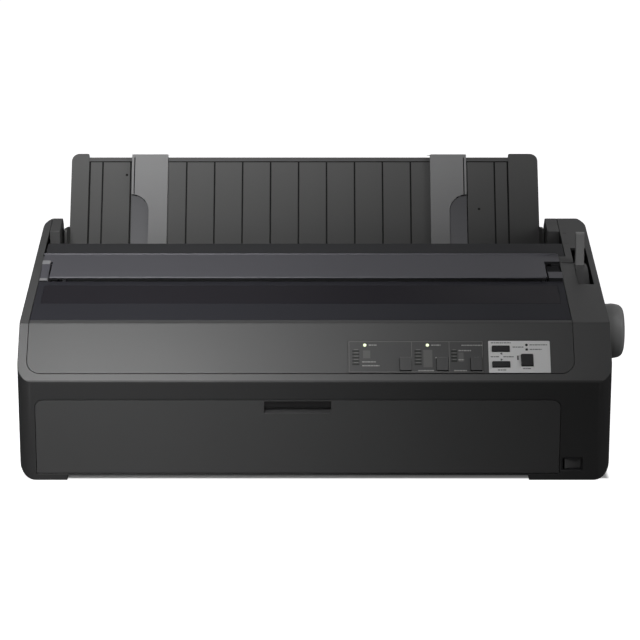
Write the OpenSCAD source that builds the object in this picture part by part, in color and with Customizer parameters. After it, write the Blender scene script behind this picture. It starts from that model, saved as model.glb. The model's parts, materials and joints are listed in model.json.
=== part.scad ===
// Wide-carriage dot matrix printer, in millimetres.
// X runs across the printer, Y from the front face to the rear, Z up from the table.
// The pieces are drawn from the middle of the front face and place() puts the origin
// under the middle of the whole printer.

/* [Case] */
// Width across the side walls
case_w = 609; // [600:1:625]
// Depth from the front face to the rear wall
case_d = 340; // [337:1:352]
// Height of the top edge of the front face
front_h = 107; // [105:1:112]
// Depth of the sloped operator panel
slope_run = 45; // [43:1:48]
// Angle of the operator panel above level
slope_angle = 48; // [46:1:50]
// Rise of the wall tops towards the rear, in degrees
roof_angle = 8.7; // [8:0.1:10]
// Depth at which the wall tops end at the rear
ear_y = 325; // [322:1:330]
// Wall thickness of the case
wall = 3; // [2.4:0.1:3.6]
// Radius of the upright corners
corner_r = 15; // [8:1:20]
// Radius of the bottom corners seen from the front
bottom_r = 17.5; // [10:0.5:20]
// Height of the raised underside between the two corner skids
skid_h = 6; // [4:0.5:7]
// Width of the wall top on the left
left_rail_w = 9.4; // [8.5:0.1:12]
// Width of the wall top on the right, which holds the release lever
right_rail_w = 38.4; // [37:0.1:40]
// Gap around covers and panels
cover_gap = 0.5; // [0.3:0.1:0.8]

/* [Operator panel] */
// Width of the sloped strip of case below the panel, along the slope
panel_strip = 9.1; // [7:0.1:12]
// Thickness of the panel
panel_t = 3; // [2.4:0.1:3.4]
// Width of a square key on the dark plate
key_w = 12; // [9:0.5:13]
// Length of a square key up the slope
key_l = 14.6; // [10:0.2:15.4]
// Width of a wide key on the pale plate
wide_key_w = 18; // [12:0.5:20]
// Length of a wide key up the slope
wide_key_l = 6.2; // [4.5:0.1:7]
// Travel of every key
key_travel = 0.8; // [0.5:0.1:1]

/* [Covers] */
// Width of the front cover
front_cover_w = 537.6; // [530:0.2:540]
// Height of the front cover
front_cover_h = 78.6; // [72:0.2:80]
// Width of the finger pocket in the front cover
pocket_w = 68.5; // [50:0.5:90]
// Height of the finger pocket
pocket_h = 12.9; // [9:0.1:14]
// Depth of the finger pocket
pocket_d = 11; // [7:0.5:13]
// Thickness of the top cover
lid_t = 3; // [2.4:0.1:3.6]
// Depth at which the top cover ends and the tension unit starts
bar_y = 151; // [149:0.5:153]
// Depth at which the tension unit ends and the rear deck starts
deck_y = 216; // [212:1:220]
// Height of the tension unit above the wall tops
bar_rise = 4; // [2:0.5:5]

/* [Sheet support] */
// Width of the sheet support
support_w = 537; // [531:1:540]
// Length of the sheet support along its slope
support_l = 131.5; // [120:0.5:134]
// Angle of the sheet support above level
support_angle = 55.6; // [54:0.2:58]
// Width of the left column of the support
left_column_w = 20.3; // [16:0.1:26]
// Width of the right column of the support
right_column_w = 34; // [26:1:38]
// Spacing of the grooves in the support
groove_pitch = 32.2; // [28:0.2:36]
// Width of an edge guide
guide_w = 41.5; // [34:0.5:46]
// Length of an edge guide
guide_l = 111.3; // [100:0.1:112]

/* [Feed mechanism] */
// Depth of the platen's axis behind the front face
platen_y = 178; // [176:0.5:180]
// Height of the platen's axis
platen_z = 109.5; // [108:0.5:111]
// Radius of the rubber platen
platen_r = 20; // [18:0.5:20.5]
// Radius of the platen's shaft
shaft_r = 5; // [4:0.25:6]
// Radius of the knob
knob_r = 30; // [26:0.5:32]
// Length of the knob outside the case
knob_l = 29; // [24:1:30]
// Module of the gear teeth
tooth_module = 1; // [0.95:0.01:1.02]
// Radius of the carriage rod
rod_r = 6; // [4.5:0.25:6.5]
// Width of the carriage
carriage_w = 50; // [44:1:54]
// Radius of the belt pulleys
pulley_r = 12.5; // [11:0.25:13]

/* [Hidden] */

// General
slide_gap = 0.3;
run_gap = 0.1;
fit_gap = 0.05;
fine = 64;
big = 400;
case_grey = [0.29, 0.29, 0.30];
dark_grey = [0.17, 0.17, 0.18];
deck_grey = [0.22, 0.22, 0.23];
guide_grey = [0.47, 0.48, 0.49];
steel = [0.66, 0.67, 0.69];
brass = [0.72, 0.60, 0.35];
rubber_black = [0.09, 0.09, 0.09];
part_white = [0.82, 0.82, 0.80];

// Case
case_bottom = 1;
half_w = case_w / 2;
rear_corner_r = 8;
rear_h = 185;
crease_z = front_h + slope_run * tan(slope_angle);
floor_t = 3;
floor_top = skid_h + floor_t;
skid_outer_x = half_w - bottom_r;
left_skid_x = -half_w + 49.5;
right_skid_x = half_w - 83.5;
open_left = -half_w + left_rail_w;
open_right = half_w - right_rail_w;
rear_open_left = -half_w + 8;
rear_open_right = half_w - 30.5;
ear_r = 40;
rear_sill_z = 125;
skirt_t = 2.5;
skirt_h = 30;

// Side plates of the mechanism
plate_t = 2;
left_plate_x = open_left + 9.1;
right_plate_x = open_right - 6.1;
plate_front_y = 60;
plate_rear_y = 330;
cartridge_seat_z = 126;
cartridge_y = 98;
cheek_seat_z = 150;
rear_plate_z = 140;

// Panel
panel_left = open_left + cover_gap;
panel_right = open_right - cover_gap;
panel_corner_r = 14;
panel_return = 6.4;
crease_round = 4;
key_rise = 2.2;
key_gap = 0.3;
key_flange = 1;
key_flange_t = 1.2;
key_float = 0.4;
overlay_t = 0.6;
overlay_sink = 0.3;
overlay_s0 = 10.2;
overlay_s1 = 46.2;
overlay_x = [34.3, 173];
label_x = [178.2, 241.4];
key_s = overlay_s0 + 2.1 + key_l / 2;
square_keys_x = [93.2, 130.8, 165.6];
wide_keys_x = 191;
load_key_s = overlay_s0 + 26.9;
feed_key_s = overlay_s0 + 9.2;
pause_key_x = 217.7;
pause_key_s = overlay_s0 + 14;
light_r = 1.5;
lights = [[51.4, 41.4], [115.7, 41.4], [217.5, 41.7], [217.5, 36.5]];
board_t = 1.6;
board_drop = 12.4;
board_x = [28, 250];
board_s = [12, 46.5];
switch_w = 5;
boss_r = 2.5;

// Covers
front_cover_x = -17.2;
front_cover_z = 8.7;
front_cover_t = wall - slide_gap;
front_cover_corner = 8;
front_cover_left = front_cover_x - front_cover_w / 2;
front_cover_right = front_cover_x + front_cover_w / 2;
front_cover_top = front_cover_z + front_cover_h;
front_hinge_y = 1.6;
front_hinge_z = front_cover_z + front_hinge_y;
front_pin_r = 0.9;
front_pin_l = 4;
pocket_x = -17.5;
pocket_top = front_cover_top - 1.2;
pocket_t = 1.2;
rim_w = 5;
rim_t = 2;
rim_overlap = 1.2;
pin_cheek = 1.1;
swing_gap = 0.3;
lid_y = slope_run + panel_return + cover_gap;
lid_rear_y = bar_y - 2.3;
lid_hinge_y = bar_y - 5;
lid_hinge_drop = 4;
lid_pin_r = 2;
lid_lug_r = 3.4;
lid_lug_w = 7;
window_y = 94;
window_border = 9;
window_seat = 1.2;
bar_t = 3;
bar_left = panel_left;
bar_right = panel_right;
tab_w = 8.8;
tab_y = bar_y + 42;
block_w = 15.1;
block_l = 17;
notch_drop = 5.2;
cheek_t = 9;
cheek_y = [bar_y + 7, deck_y - 8];

// Sheet support, drawn up its own slope from where it meets the deck in view
support_y = 332.6;
support_z = 159;
support_low = -12;
support_top = support_low + support_l;
support_left = -280;
support_right = support_left + support_w;
support_t = 2.4;
support_lip = 5;
plate_drop = 4.4;
column_rise = 0.4;
groove_w = 1.5;
groove_depth = 1.4;
column_groove_w = 1.8;
guide_line_x = 2.6;
guide_line_w = 1;
middle_groove_x = -18.5;
arm_t = 2.4;
arm_top = 29;
support_pin_r = 3;
support_hinge = [318, 166];
post_left = [rear_open_left + slide_gap, -285];
post_right = [260.4, rear_open_right - slide_gap];
post_y = [285.5, case_d - wall - slide_gap];
post_leg_y = [298, 330];
post_low = 100;
guide_t = 5;
guide_base_t = 1.6;
guide_low = 5.6;
guide_hook = 1.2;
guide_x = [-189.4, 153.6];
guide_step_w = 20;
guide_step_s = 67.3;

// Feed mechanism
platen_left = left_plate_x + plate_t + 6;
platen_right = right_plate_x - 6;
bush_r = 9;
bush_flange_r = 12;
bush_flange_t = 1.5;
gear_x = right_plate_x + plate_t + 2;
gear_w = 6;
platen_teeth = 48;
idler_teeth = 48;
tractor_teeth = 40;
pinion_teeth = 16;
idler_dir = -15;
tractor_dir = 17;
pinion_dir = -100;
knob_gap = 1;
knob_round = 8;
platen_axis = [platen_y, platen_z];
idler_axis = polar(platen_axis, mesh(platen_teeth, idler_teeth), idler_dir);
tractor_axis = polar(idler_axis, mesh(idler_teeth, tractor_teeth), tractor_dir);
pinion_axis = polar(idler_axis, mesh(idler_teeth, pinion_teeth), pinion_dir);
idler_stud_r = 3;
motor_r = 21;
motor_l = 38;
motor_shaft_r = 2.5;
press_r = 6;
press_shaft_r = 2.5;
press_axis = [platen_y, platen_z - platen_r - slide_gap - press_r];
press_count = 6;
press_w = 18;
press_pitch = 84;
hex_r = 4;
tractor_w = 28;
cheek_plate_t = 3;
tractor_x = [-215, 185];
sprocket_r = 13;
sprocket_w = 8;
sprocket_pins = 8;
sprocket_pin_r = 1.2;
sprocket_pin_l = 3;
tractor_rod_axis = [tractor_axis[0] + 26, tractor_axis[1] - 6];
tractor_rod_r = 3.5;

// Carriage
rod_axis = [125, 86];
home_x = -205;
belt_y = 112;
belt_z = [68, 74];
belt_t = 1.2;
clamp_w = 16;
clamp_t = 2.2;
belt_left_x = left_plate_x + plate_t + 26;
belt_right_x = right_plate_x - 35;
rail_y = 90;
rail_top = 98;
head_gap = 2.4;
ribbon_t = 0.3;

// Levers
lever_axis = [195, 105];
lever_x = [283, 292.2];
lever_reach = 109.5;
lever_lean = 2.6;
shield_r = 73.8;
shield_side = 2.6;
shield_t = 2;
slot_x = [281.5, 297.9];
slot_y = [142, 239];
recess_y = 200;
recess_depth = 0.6;
thickness_axis = [124, 112];
thickness_l = 38;

// Power and ports
rocker_x = 265;
rocker_z = 18.5;
rocker_w = 21;
rocker_h = 13;
rocker_tilt = 8;
rocker_body_d = 22;
inlet_x = -231;
inlet_z = 40;
port_z = 22;
board_z = 22;

// ---- Helpers ----

function unit(v) = v / norm(v);
function polar(p, r, a) = [p[0] + r * cos(a), p[1] + r * sin(a)];
function mesh(a, b) = tooth_module * (a + b) / 2;
function short_turn(a) = a > 180 ? a - 360 : a < -180 ? a + 360 : a;

// Height of the wall tops at a depth
function roof(y) = crease_z + (y - slope_run) * tan(roof_angle);

// Points of one rounded corner b between a and c
function corner(a, b, c, r, steps) =
    let (
        u = unit(a - b),
        v = unit(c - b),
        half = acos(u * v) / 2,
        centre = b + unit(u + v) * r / sin(half),
        from = b + u * r / tan(half) - centre,
        to = b + v * r / tan(half) - centre,
        start = atan2(from[1], from[0]),
        turn = short_turn(atan2(to[1], to[0]) - start)
    )
    [for (i = [0:steps]) polar(centre, r, start + turn * i / steps)];

// An outline of [x, y, radius] points with its corners rounded
function soften(pts, steps = 6) = [
    for (i = [0:len(pts) - 1])
        let (
            n = len(pts),
            p = pts[i],
            before = pts[(i + n - 1) % n],
            after = pts[(i + 1) % n]
        )
        each p[2] > 0
            ? corner([before[0], before[1]], [p[0], p[1]], [after[0], after[1]], p[2], steps)
            : [[p[0], p[1]]]
];

// The same outline drawn a wall thickness further in, for points that run anticlockwise
function inset(pts, t) = [
    for (i = [0:len(pts) - 1])
        let (
            n = len(pts),
            a = pts[(i + n - 1) % n],
            b = pts[i],
            c = pts[(i + 1) % n],
            u = unit([b[0] - a[0], b[1] - a[1]]),
            v = unit([c[0] - b[0], c[1] - b[1]]),
            nu = [-u[1], u[0]],
            nv = [-v[1], v[0]],
            shift = t * (nu + nv) / (1 + nu * nv)
        )
        [b[0] + shift[0], b[1] + shift[1], max(0, b[2] - t)]
];

function box_outline(x0, x1, y0, y1, r) = [[x0, y0, r], [x1, y0, r], [x1, y1, r], [x0, y1, r]];

module place() translate([-knob_l / 2 - knob_gap / 2, -depth_all / 2, 0]) children();
depth_all = support_y + support_top * cos(support_angle) + support_t * sin(support_angle);

module along_x(x0, x1)
    translate([x0, 0, 0]) rotate([90, 0, 90]) linear_extrude(x1 - x0) children();

module along_y(y0, y1)
    translate([0, y1, 0]) rotate([90, 0, 0]) linear_extrude(y1 - y0) children();

module along_z(z0, z1)
    translate([0, 0, z0]) linear_extrude(z1 - z0) children();

module rod_x(x0, x1, at, r) along_x(x0, x1) translate(at) circle(r, $fn = fine);

module rod_z(x, y, z0, z1, r) translate([x, y, z0]) cylinder(h = z1 - z0, r = r, $fn = fine);

module block(x, y, z) translate([x[0], y[0], z[0]]) cube([x[1] - x[0], y[1] - y[0], z[1] - z[0]]);

module on_slope() translate([0, 0, front_h]) rotate([slope_angle, 0, 0]) children();

module on_roof() translate([0, 0, roof(0)]) rotate([roof_angle, 0, 0]) children();

module on_support() translate([0, support_y, support_z]) rotate([support_angle, 0, 0]) children();

// Depth measured along the wall tops
function roof_run(y) = y / cos(roof_angle);

module toothed(teeth, turned) rotate(turned) polygon([
    for (i = [0:teeth - 1])
        let (
            pitch = 360 / teeth,
            a = i * pitch,
            root = tooth_module * (teeth / 2 - 1.2),
            tip = tooth_module * (teeth / 2 + 0.85)
        )
        each [
            polar([0, 0], root, a - 0.3 * pitch),
            polar([0, 0], tip, a - 0.13 * pitch),
            polar([0, 0], tip, a + 0.13 * pitch),
            polar([0, 0], root, a + 0.3 * pitch)
        ]
]);

// Turns a gear so that its gap meets a tooth of the gear that drives it
function meshed(turned, teeth_a, teeth_b, dir) =
    dir + 180 - 180 / teeth_b - (turned - dir) * teeth_a / teeth_b;

idler_turn = meshed(0, platen_teeth, idler_teeth, idler_dir);
tractor_turn = meshed(idler_turn, idler_teeth, tractor_teeth, tractor_dir);
pinion_turn = meshed(idler_turn, idler_teeth, pinion_teeth, pinion_dir);

module gear(teeth, turned, at, bore)
    along_x(gear_x, gear_x + gear_w) translate(at) difference() {
        toothed(teeth, turned);
        circle(bore, $fn = fine);
    }

// ---- Case ----

case_side = [
    [0, case_bottom, 0],
    [case_d, case_bottom, 0],
    [case_d, rear_h, 8],
    [ear_y, roof(ear_y), 5],
    [slope_run, crease_z, crease_round],
    [0, front_h, 4]
];

module case_form(t) intersection() {
    along_x(-half_w + t, half_w - t) polygon(soften(inset(case_side, t)));
    along_z(0, big) polygon(soften([
        [-half_w + t, t, corner_r - t],
        [half_w - t, t, corner_r - t],
        [half_w - t, case_d - t, rear_corner_r - t],
        [-half_w + t, case_d - t, rear_corner_r - t]
    ], 10));
    along_y(0, case_d) polygon(soften([
        [-half_w + t, case_bottom + t, bottom_r - t],
        [half_w - t, case_bottom + t, bottom_r - t],
        [half_w - t, big, 0],
        [-half_w + t, big, 0]
    ], 10));
}

slope_dir = [cos(slope_angle), sin(slope_angle)];
slope_in = [sin(slope_angle), -cos(slope_angle)];

// Everything above the panel seam, the lid and the deck, in (y, z)
module top_opening(y1) {
    seam = [0, front_h] + slope_dir * panel_strip;
    polygon([
        seam - slope_in * 20,
        seam + slope_in * 12,
        [plate_front_y, seam[1] - 8],
        [y1, seam[1] - 8],
        [y1, big],
        [-60, big]
    ]);
}

// What the walls keep beside the rounded lower corners of the operator panel
module panel_corners() on_slope() difference() {
    reach = panel_corner_r + cover_gap + 1;
    for (x = [[open_left - 1, open_left + reach], [open_right - reach, open_right + 1]])
        block(x, [panel_strip - 1, panel_strip + reach], [-wall - 1, 1]);
    along_z(-big, big) polygon(soften([
        [open_left, panel_strip, panel_corner_r + cover_gap],
        [open_right, panel_strip, panel_corner_r + cover_gap],
        [open_right, big, 0],
        [open_left, big, 0]
    ], 10));
}

module cover_outline(grow) polygon(soften([
    [front_cover_left - grow, front_cover_z - cover_gap - swing_gap, 0],
    [front_cover_right + grow, front_cover_z - cover_gap - swing_gap, 0],
    [front_cover_right + grow, front_cover_top + grow, max(1, front_cover_corner + grow)],
    [front_cover_left - grow, front_cover_top + grow, max(1, front_cover_corner + grow)]
]));

// What rounds the rear ends of the side walls, seen from above
module ear_corners() difference() {
    block([-half_w - 1, half_w + 1], [case_d - ear_r, case_d + 1], [rear_h, big]);
    along_z(rear_h - 1, big + 1) polygon(soften([
        [-half_w, 0, 1], [half_w, 0, 1], [half_w, case_d, ear_r], [-half_w, case_d, ear_r]
    ], 10));
}

module front_opening() along_y(-1, wall) cover_outline(cover_gap);

module rear_holes() {
    block([inlet_x - 14.2, inlet_x + 14.2], [case_d - wall - 1, case_d + 1], [inlet_z - 10.7, inlet_z + 10.7]);
    for (p = ports) block(
        [p[0] - p[1] / 2 - slide_gap, p[0] + p[1] / 2 + slide_gap],
        [case_d - wall - 1, case_d + 1],
        [board_z + board_t - slide_gap, board_z + board_t + p[2] + slide_gap]
    );
    for (i = [0:vent_count - 1]) block(
        [vent_x + i * vent_pitch, vent_x + i * vent_pitch + vent_w],
        [case_d - wall - 1, case_d + 1],
        vent_z
    );
}
ports = [[60, 56, 15], [140, 13, 12]];
vent_count = 14;
vent_pitch = 9;
vent_w = 4;
vent_x = -110;
vent_z = [60, 95];

module side_vents() for (i = [0:vent_count - 1]) block(
    [-half_w - 1, -half_w + wall + 0.5],
    [215 + i * 7, 218 + i * 7],
    [40, 80]
);

module upper_case() place() color(case_grey) difference() {
    union() {
        difference() {
            case_form(0);
            case_form(wall);
        }
        intersection() {
            case_form(wall - 0.5);
            union() {
                block([open_left - skirt_t, open_left], [lid_y, deck_y], [0, big]);
                block([open_right, open_right + skirt_t], [lid_y, deck_y], [0, big]);
            }
            along_x(-half_w, half_w) polygon([
                [lid_y, roof(lid_y) - skirt_h],
                [deck_y, roof(deck_y) - skirt_h],
                [deck_y, big],
                [lid_y, big]
            ]);
        }
        intersection() {
            along_y(wall - 0.5, wall + rim_t) difference() {
                cover_outline(rim_overlap);
                cover_outline(-rim_w);
            }
            front_rim_zone();
        }
        intersection() {
            case_form(wall - 0.5);
            for (x = [
                [front_cover_left - cover_gap - front_pin_l - 3, front_cover_left - cover_gap],
                [front_cover_right + cover_gap, front_cover_right + cover_gap + front_pin_l + 3]
            ]) block(x, [wall - 0.5, wall + 2], [front_cover_z - 2, front_hinge_z + pin_cheek]);
        }
        lever_pin();
        screw_posts();
    }
    difference() {
        along_x(open_left, open_right) top_opening(deck_y + 0.1);
        panel_corners();
    }
    along_x(rear_open_left, rear_open_right) polygon([
        [deck_y, 105], [case_d - wall, 105], [case_d - wall, big], [deck_y, big]
    ]);
    block([post_left[1] - 1, post_right[0] + 1], [case_d - wall - 1, case_d + 1], [rear_sill_z, big]);
    block([-skid_outer_x, skid_outer_x], [wall, case_d - wall], [-1, floor_top]);
    block([left_skid_x, right_skid_x], [-1, case_d + 1], [-1, skid_h]);
    front_opening();
    rod_x(
        front_cover_left - cover_gap - front_pin_l,
        front_cover_right + cover_gap + front_pin_l,
        [front_hinge_y, front_hinge_z],
        front_pin_r + run_gap
    );
    rod_x(open_left - skirt_t - 1, open_left + 1, lid_hinge(), lid_pin_r + run_gap);
    rod_x(open_right - 1, open_right + skirt_t + 1, lid_hinge(), lid_pin_r + run_gap);
    rod_x(half_w - wall - 1, half_w + 1, platen_axis, shaft_r + 1);
    block(slot_x, slot_y, [shield_r + lever_axis[1] - 32, big]);
    on_roof() block(
        [open_right + 1.5, mid(slot_x)],
        [roof_run(slot_y[0] + 1.5), roof_run(recess_y)],
        [-recess_depth, 10]
    );
    rocker_hole();
    ear_corners();
    rear_holes();
    side_vents();
}

function lid_hinge() = [lid_hinge_y, roof(lid_hinge_y) - lid_hinge_drop];

// Where the stop rim behind the front cover is kept: both ends and the top beside the pocket
module front_rim_zone() {
    top = front_cover_top + rim_overlap;
    for (x = [
        [front_cover_left - rim_overlap, front_cover_left + rim_w],
        [front_cover_right - rim_w, front_cover_right + rim_overlap]
    ]) block(x, [0, 20], [front_hinge_z + 8, top]);
    for (x = [
        [front_cover_left - rim_overlap, pocket_x - pocket_w / 2 - 8],
        [pocket_x + pocket_w / 2 + 8, front_cover_right + rim_overlap]
    ]) block(x, [0, 20], [front_cover_top - rim_w, top]);
}

module lever_pin() {
    rod_x(lever_x[1] + slide_gap, half_w - wall + 0.5, lever_axis, 6);
    rod_x(lever_x[0], lever_x[1] + slide_gap + 1, lever_axis, 3);
}

screw_x = [-half_w + 27.5, half_w - 27.5];
screw_y = [34, case_d - 24];
screw_r = 2;
screw_post_r = 5;

module screw_posts() difference() {
    intersection() {
        union() {
            for (x = screw_x, y = screw_y)
                rod_z(x, y, floor_top, floor_top + 26, screw_post_r);
            for (x = [[-half_w, screw_x[0]], [screw_x[1], half_w]]) block(
                x, [screw_y[0] - 1, screw_y[0] + 1], [floor_top, floor_top + 25]
            );
            for (x = screw_x) block(
                [x - 1, x + 1], [screw_y[1], case_d], [floor_top, floor_top + 25]
            );
        }
        case_form(wall - 0.5);
    }
    for (x = screw_x, y = screw_y) rod_z(x, y, 0, floor_top + 20, screw_r + fit_gap);
}

module lower_case() place() color(dark_grey) difference() {
    union() {
        block(
            [-skid_outer_x + slide_gap, skid_outer_x - slide_gap],
            [wall + slide_gap, case_d - wall - slide_gap],
            [skid_h, floor_top]
        );
        block(
            [-skid_outer_x + slide_gap, left_skid_x],
            [wall + slide_gap, case_d - wall - slide_gap],
            [case_bottom, skid_h]
        );
        block(
            [right_skid_x, skid_outer_x - slide_gap],
            [wall + slide_gap, case_d - wall - slide_gap],
            [case_bottom, skid_h]
        );
    }
    for (x = screw_x, y = screw_y) {
        rod_z(x, y, 0, floor_top + 1, screw_r + run_gap);
        rod_z(x, y, 0, screw_head_z + screw_head_t + run_gap, screw_head_r + run_gap);
    }
    for (x = feet_x, y = feet_y) rod_z(x, y, 0, foot_seat_z, foot_r + fit_gap);
    for (i = [0:vent_count - 1])
        block([-60 + i * 12, -55 + i * 12], [150, 210], [0, floor_top + 1]);
}

feet_x = [-half_w + 38, half_w - 48];
feet_y = [42, case_d - 42];
foot_r = 9;
foot_seat_z = 3;
screw_head_z = 1.6;
screw_head_t = 2;
screw_head_r = 3.5;

module rubber_feet() place() color(rubber_black)
    for (x = feet_x, y = feet_y) rod_z(x, y, 0, foot_seat_z, foot_r);

module case_screws() place() color(steel) for (x = screw_x, y = screw_y) {
    rod_z(x, y, screw_head_z, screw_head_z + screw_head_t, screw_head_r);
    rod_z(x, y, screw_head_z + screw_head_t, floor_top + 18, screw_r);
}

// ---- Operator panel ----

module key_holes(grow) {
    for (x = square_keys_x) key_shape(x, key_s, key_w, key_l, grow);
    key_shape(wide_keys_x, load_key_s, wide_key_w, wide_key_l, grow);
    key_shape(wide_keys_x, feed_key_s, wide_key_w, wide_key_l, grow);
    key_shape(pause_key_x, pause_key_s, key_w, key_w + 1.2, grow);
}

module key_shape(x, s, w, l, grow) translate([x, s])
    square([w + 2 * grow, l + 2 * grow], center = true);

module light_holes() for (p = lights) translate(p) circle(light_r, $fn = 24);

module control_panel() place() color(case_grey) {
    panel_top = [slope_run + panel_return, roof(slope_run + panel_return)];
    start = [0, front_h] + slope_dir * (panel_strip + cover_gap);
    roof_in = [sin(roof_angle), -cos(roof_angle)];
    inner_crease = [slope_run, crease_z]
        + panel_t * (slope_in + roof_in) / (1 + slope_in * roof_in);
    difference() {
        intersection() {
            along_x(panel_left, panel_right) polygon(soften([
                [start[0], start[1], 0.5],
                [start[0] + slope_in[0] * panel_t, start[1] + slope_in[1] * panel_t, 0],
                [inner_crease[0], inner_crease[1], 1],
                [panel_top[0] + roof_in[0] * panel_t, panel_top[1] + roof_in[1] * panel_t, 0],
                [panel_top[0], panel_top[1], 0.5],
                [slope_run, crease_z, crease_round]
            ]));
            on_slope() along_z(-20, 20) polygon(soften([
                [panel_left, panel_strip + cover_gap, panel_corner_r],
                [panel_right, panel_strip + cover_gap, panel_corner_r],
                [panel_right, big, 0],
                [panel_left, big, 0]
            ], 10));
        }
        on_slope() {
            along_z(-panel_t - 5, 5) key_holes(key_gap);
            along_z(-panel_t - 5, 5) light_holes();
            along_z(-overlay_sink, 5) {
                plate_outline(overlay_x, slide_gap);
                plate_outline(label_x, slide_gap);
            }
        }
    }
    on_slope() for (x = board_x, s = board_s) translate([
        x + sign(mid(board_x) - x) * boss_r * 1.5,
        s + sign(mid(board_s) - s) * boss_r * 1.5,
        -board_drop
    ]) cylinder(h = board_drop - panel_t + 0.2, r = boss_r, $fn = fine);
}

function mid(v) = (v[0] + v[1]) / 2;

module plate_outline(x, grow)
    polygon(soften(box_outline(x[0] - grow, x[1] + grow, overlay_s0 - grow, overlay_s1 + grow, 1)));

module panel_plate(x) place() on_slope() along_z(-overlay_sink, overlay_t - overlay_sink)
    difference() {
        plate_outline(x, 0);
        key_holes(key_gap);
        light_holes();
    }

module panel_overlay() color(dark_grey) panel_plate(overlay_x);

module panel_label() color(part_white) panel_plate(label_x);

module panel_board() place() color("darkgreen") on_slope() {
    block(board_x, board_s, [-board_drop - board_t, -board_drop]);
    for (k = key_places()) translate([k[0], k[1], -board_drop - 0.2])
        linear_extrude(board_drop + 0.2 + key_stem_z() - key_travel - key_float)
            square(switch_w, center = true);
    for (p = lights) translate([p[0], p[1], -board_drop - 0.2])
        cylinder(h = board_drop + 0.2 - overlay_sink - 0.4, r = light_r - 0.2, $fn = 24);
}

function key_places() = [
    for (x = square_keys_x) [x, key_s],
    [wide_keys_x, load_key_s],
    [wide_keys_x, feed_key_s],
    [pause_key_x, pause_key_s]
];

// Underside of a key's flange, measured from the face of the panel
function key_stem_z() = -panel_t - key_float - key_flange_t;

module key(x, s, w, l) place() on_slope() translate([x, s, 0]) {
    translate([0, 0, -panel_t - key_float - 0.1]) linear_extrude(panel_t + key_float + 0.1 + key_rise)
        polygon(soften(box_outline(-w / 2, w / 2, -l / 2, l / 2, 0.8)));
    translate([0, 0, key_stem_z()]) linear_extrude(key_flange_t)
        square([w + 2 * key_flange, l + 2 * key_flange], center = true);
}

module font_key() color("silver") key(square_keys_x[0], key_s, key_w, key_l);
module pitch_key() color("silver") key(square_keys_x[1], key_s, key_w, key_l);
module tear_off_key() color("silver") key(square_keys_x[2], key_s, key_w, key_l);
module load_key() color(dark_grey) key(wide_keys_x, load_key_s, wide_key_w, wide_key_l);
module feed_key() color(dark_grey) key(wide_keys_x, feed_key_s, wide_key_w, wide_key_l);
module pause_key() color(dark_grey) key(pause_key_x, pause_key_s, key_w, key_w + 1.2);

// ---- Covers ----

module front_cover() place() color(case_grey) difference() {
    union() {
        along_y(0, front_cover_t) polygon(soften([
            [front_cover_left, front_cover_z, 0],
            [front_cover_right, front_cover_z, 0],
            [front_cover_right, front_cover_top, front_cover_corner],
            [front_cover_left, front_cover_top, front_cover_corner]
        ]));
        rod_x(
            front_cover_left - cover_gap - front_pin_l + slide_gap,
            front_cover_right + cover_gap + front_pin_l - slide_gap,
            [front_hinge_y, front_hinge_z],
            front_pin_r
        );
        along_x(pocket_x - pocket_w / 2 - pocket_t, pocket_x + pocket_w / 2 + pocket_t)
            pocket_profile(pocket_t);
        for (x = [-210, -110, 90, 190]) along_x(x, x + 2) polygon([
            [front_cover_t - 0.5, 22], [front_cover_t + 4, 26], [front_cover_t + 4, 62],
            [front_cover_t - 0.5, 66]
        ]);
    }
    along_x(pocket_x - pocket_w / 2, pocket_x + pocket_w / 2) pocket_profile(0);
}

// The finger pocket's section, grown by its wall, with a roof that falls towards the back
module pocket_profile(grow) {
    low = pocket_top - pocket_h;
    polygon([
        [grow > 0 ? 0.5 : -1, low - grow],
        [front_cover_t + pocket_d + grow, low + 2 - grow],
        [front_cover_t + pocket_d + grow, pocket_top - 1.6 + grow / 2],
        [grow > 0 ? 0.5 : -1, pocket_top + grow / 2]
    ]);
}

module lid_sheet(t0, t1, x, y) on_roof() block(
    x, [roof_run(y[0]), roof_run(y[1])], [-t1, -t0]
);

window_x = [panel_left + window_border, panel_right - window_border];
window_rear = lid_hinge_y - 9;

module top_cover() place() color(dark_grey) {
    difference() {
        union() {
            lid_sheet(0, lid_t, [panel_left, panel_right], [lid_y, lid_rear_y]);
            lid_sheet(lid_t - 0.2, lid_t + 4, [panel_left + 4, panel_right - 4], [lid_y + 3, lid_y + 5]);
            for (x = [
                [panel_left + 0.5, panel_left + lid_lug_w],
                [panel_right - lid_lug_w, panel_right - 0.5]
            ]) rod_x(x[0], x[1], lid_hinge(), lid_lug_r);
        }
        lid_sheet(-1, lid_t + 1, window_x, [window_y, window_rear]);
        lid_sheet(
            -1, window_seat,
            [window_x[0] - 2, window_x[1] + 2],
            [window_y - 2, window_rear + 2]
        );
    }
    rod_x(panel_left - cover_gap - skirt_t, panel_left + 1, lid_hinge(), lid_pin_r);
    rod_x(panel_right - 1, panel_right + cover_gap + skirt_t, lid_hinge(), lid_pin_r);
}

module cover_window() place() color([0.12, 0.11, 0.14]) {
    lid_sheet(
        0, window_seat,
        [window_x[0] - 2 + fit_gap, window_x[1] + 2 - fit_gap],
        [window_y - 2 + fit_gap, window_rear + 2 - fit_gap]
    );
    lid_sheet(
        window_seat - 0.1, lid_t,
        [window_x[0] + fit_gap, window_x[1] - fit_gap],
        [window_y + fit_gap, window_rear - fit_gap]
    );
}

function bar_top(y) = roof(y) + bar_rise - (y - bar_y) * 0.012;

module bar_section(y, drop, t)
    polygon([
        [y[0], bar_top(y[0]) - drop - t], [y[1], bar_top(y[1]) - drop - t],
        [y[1], bar_top(y[1]) - drop], [y[0], bar_top(y[0]) - drop]
    ]);

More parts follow.
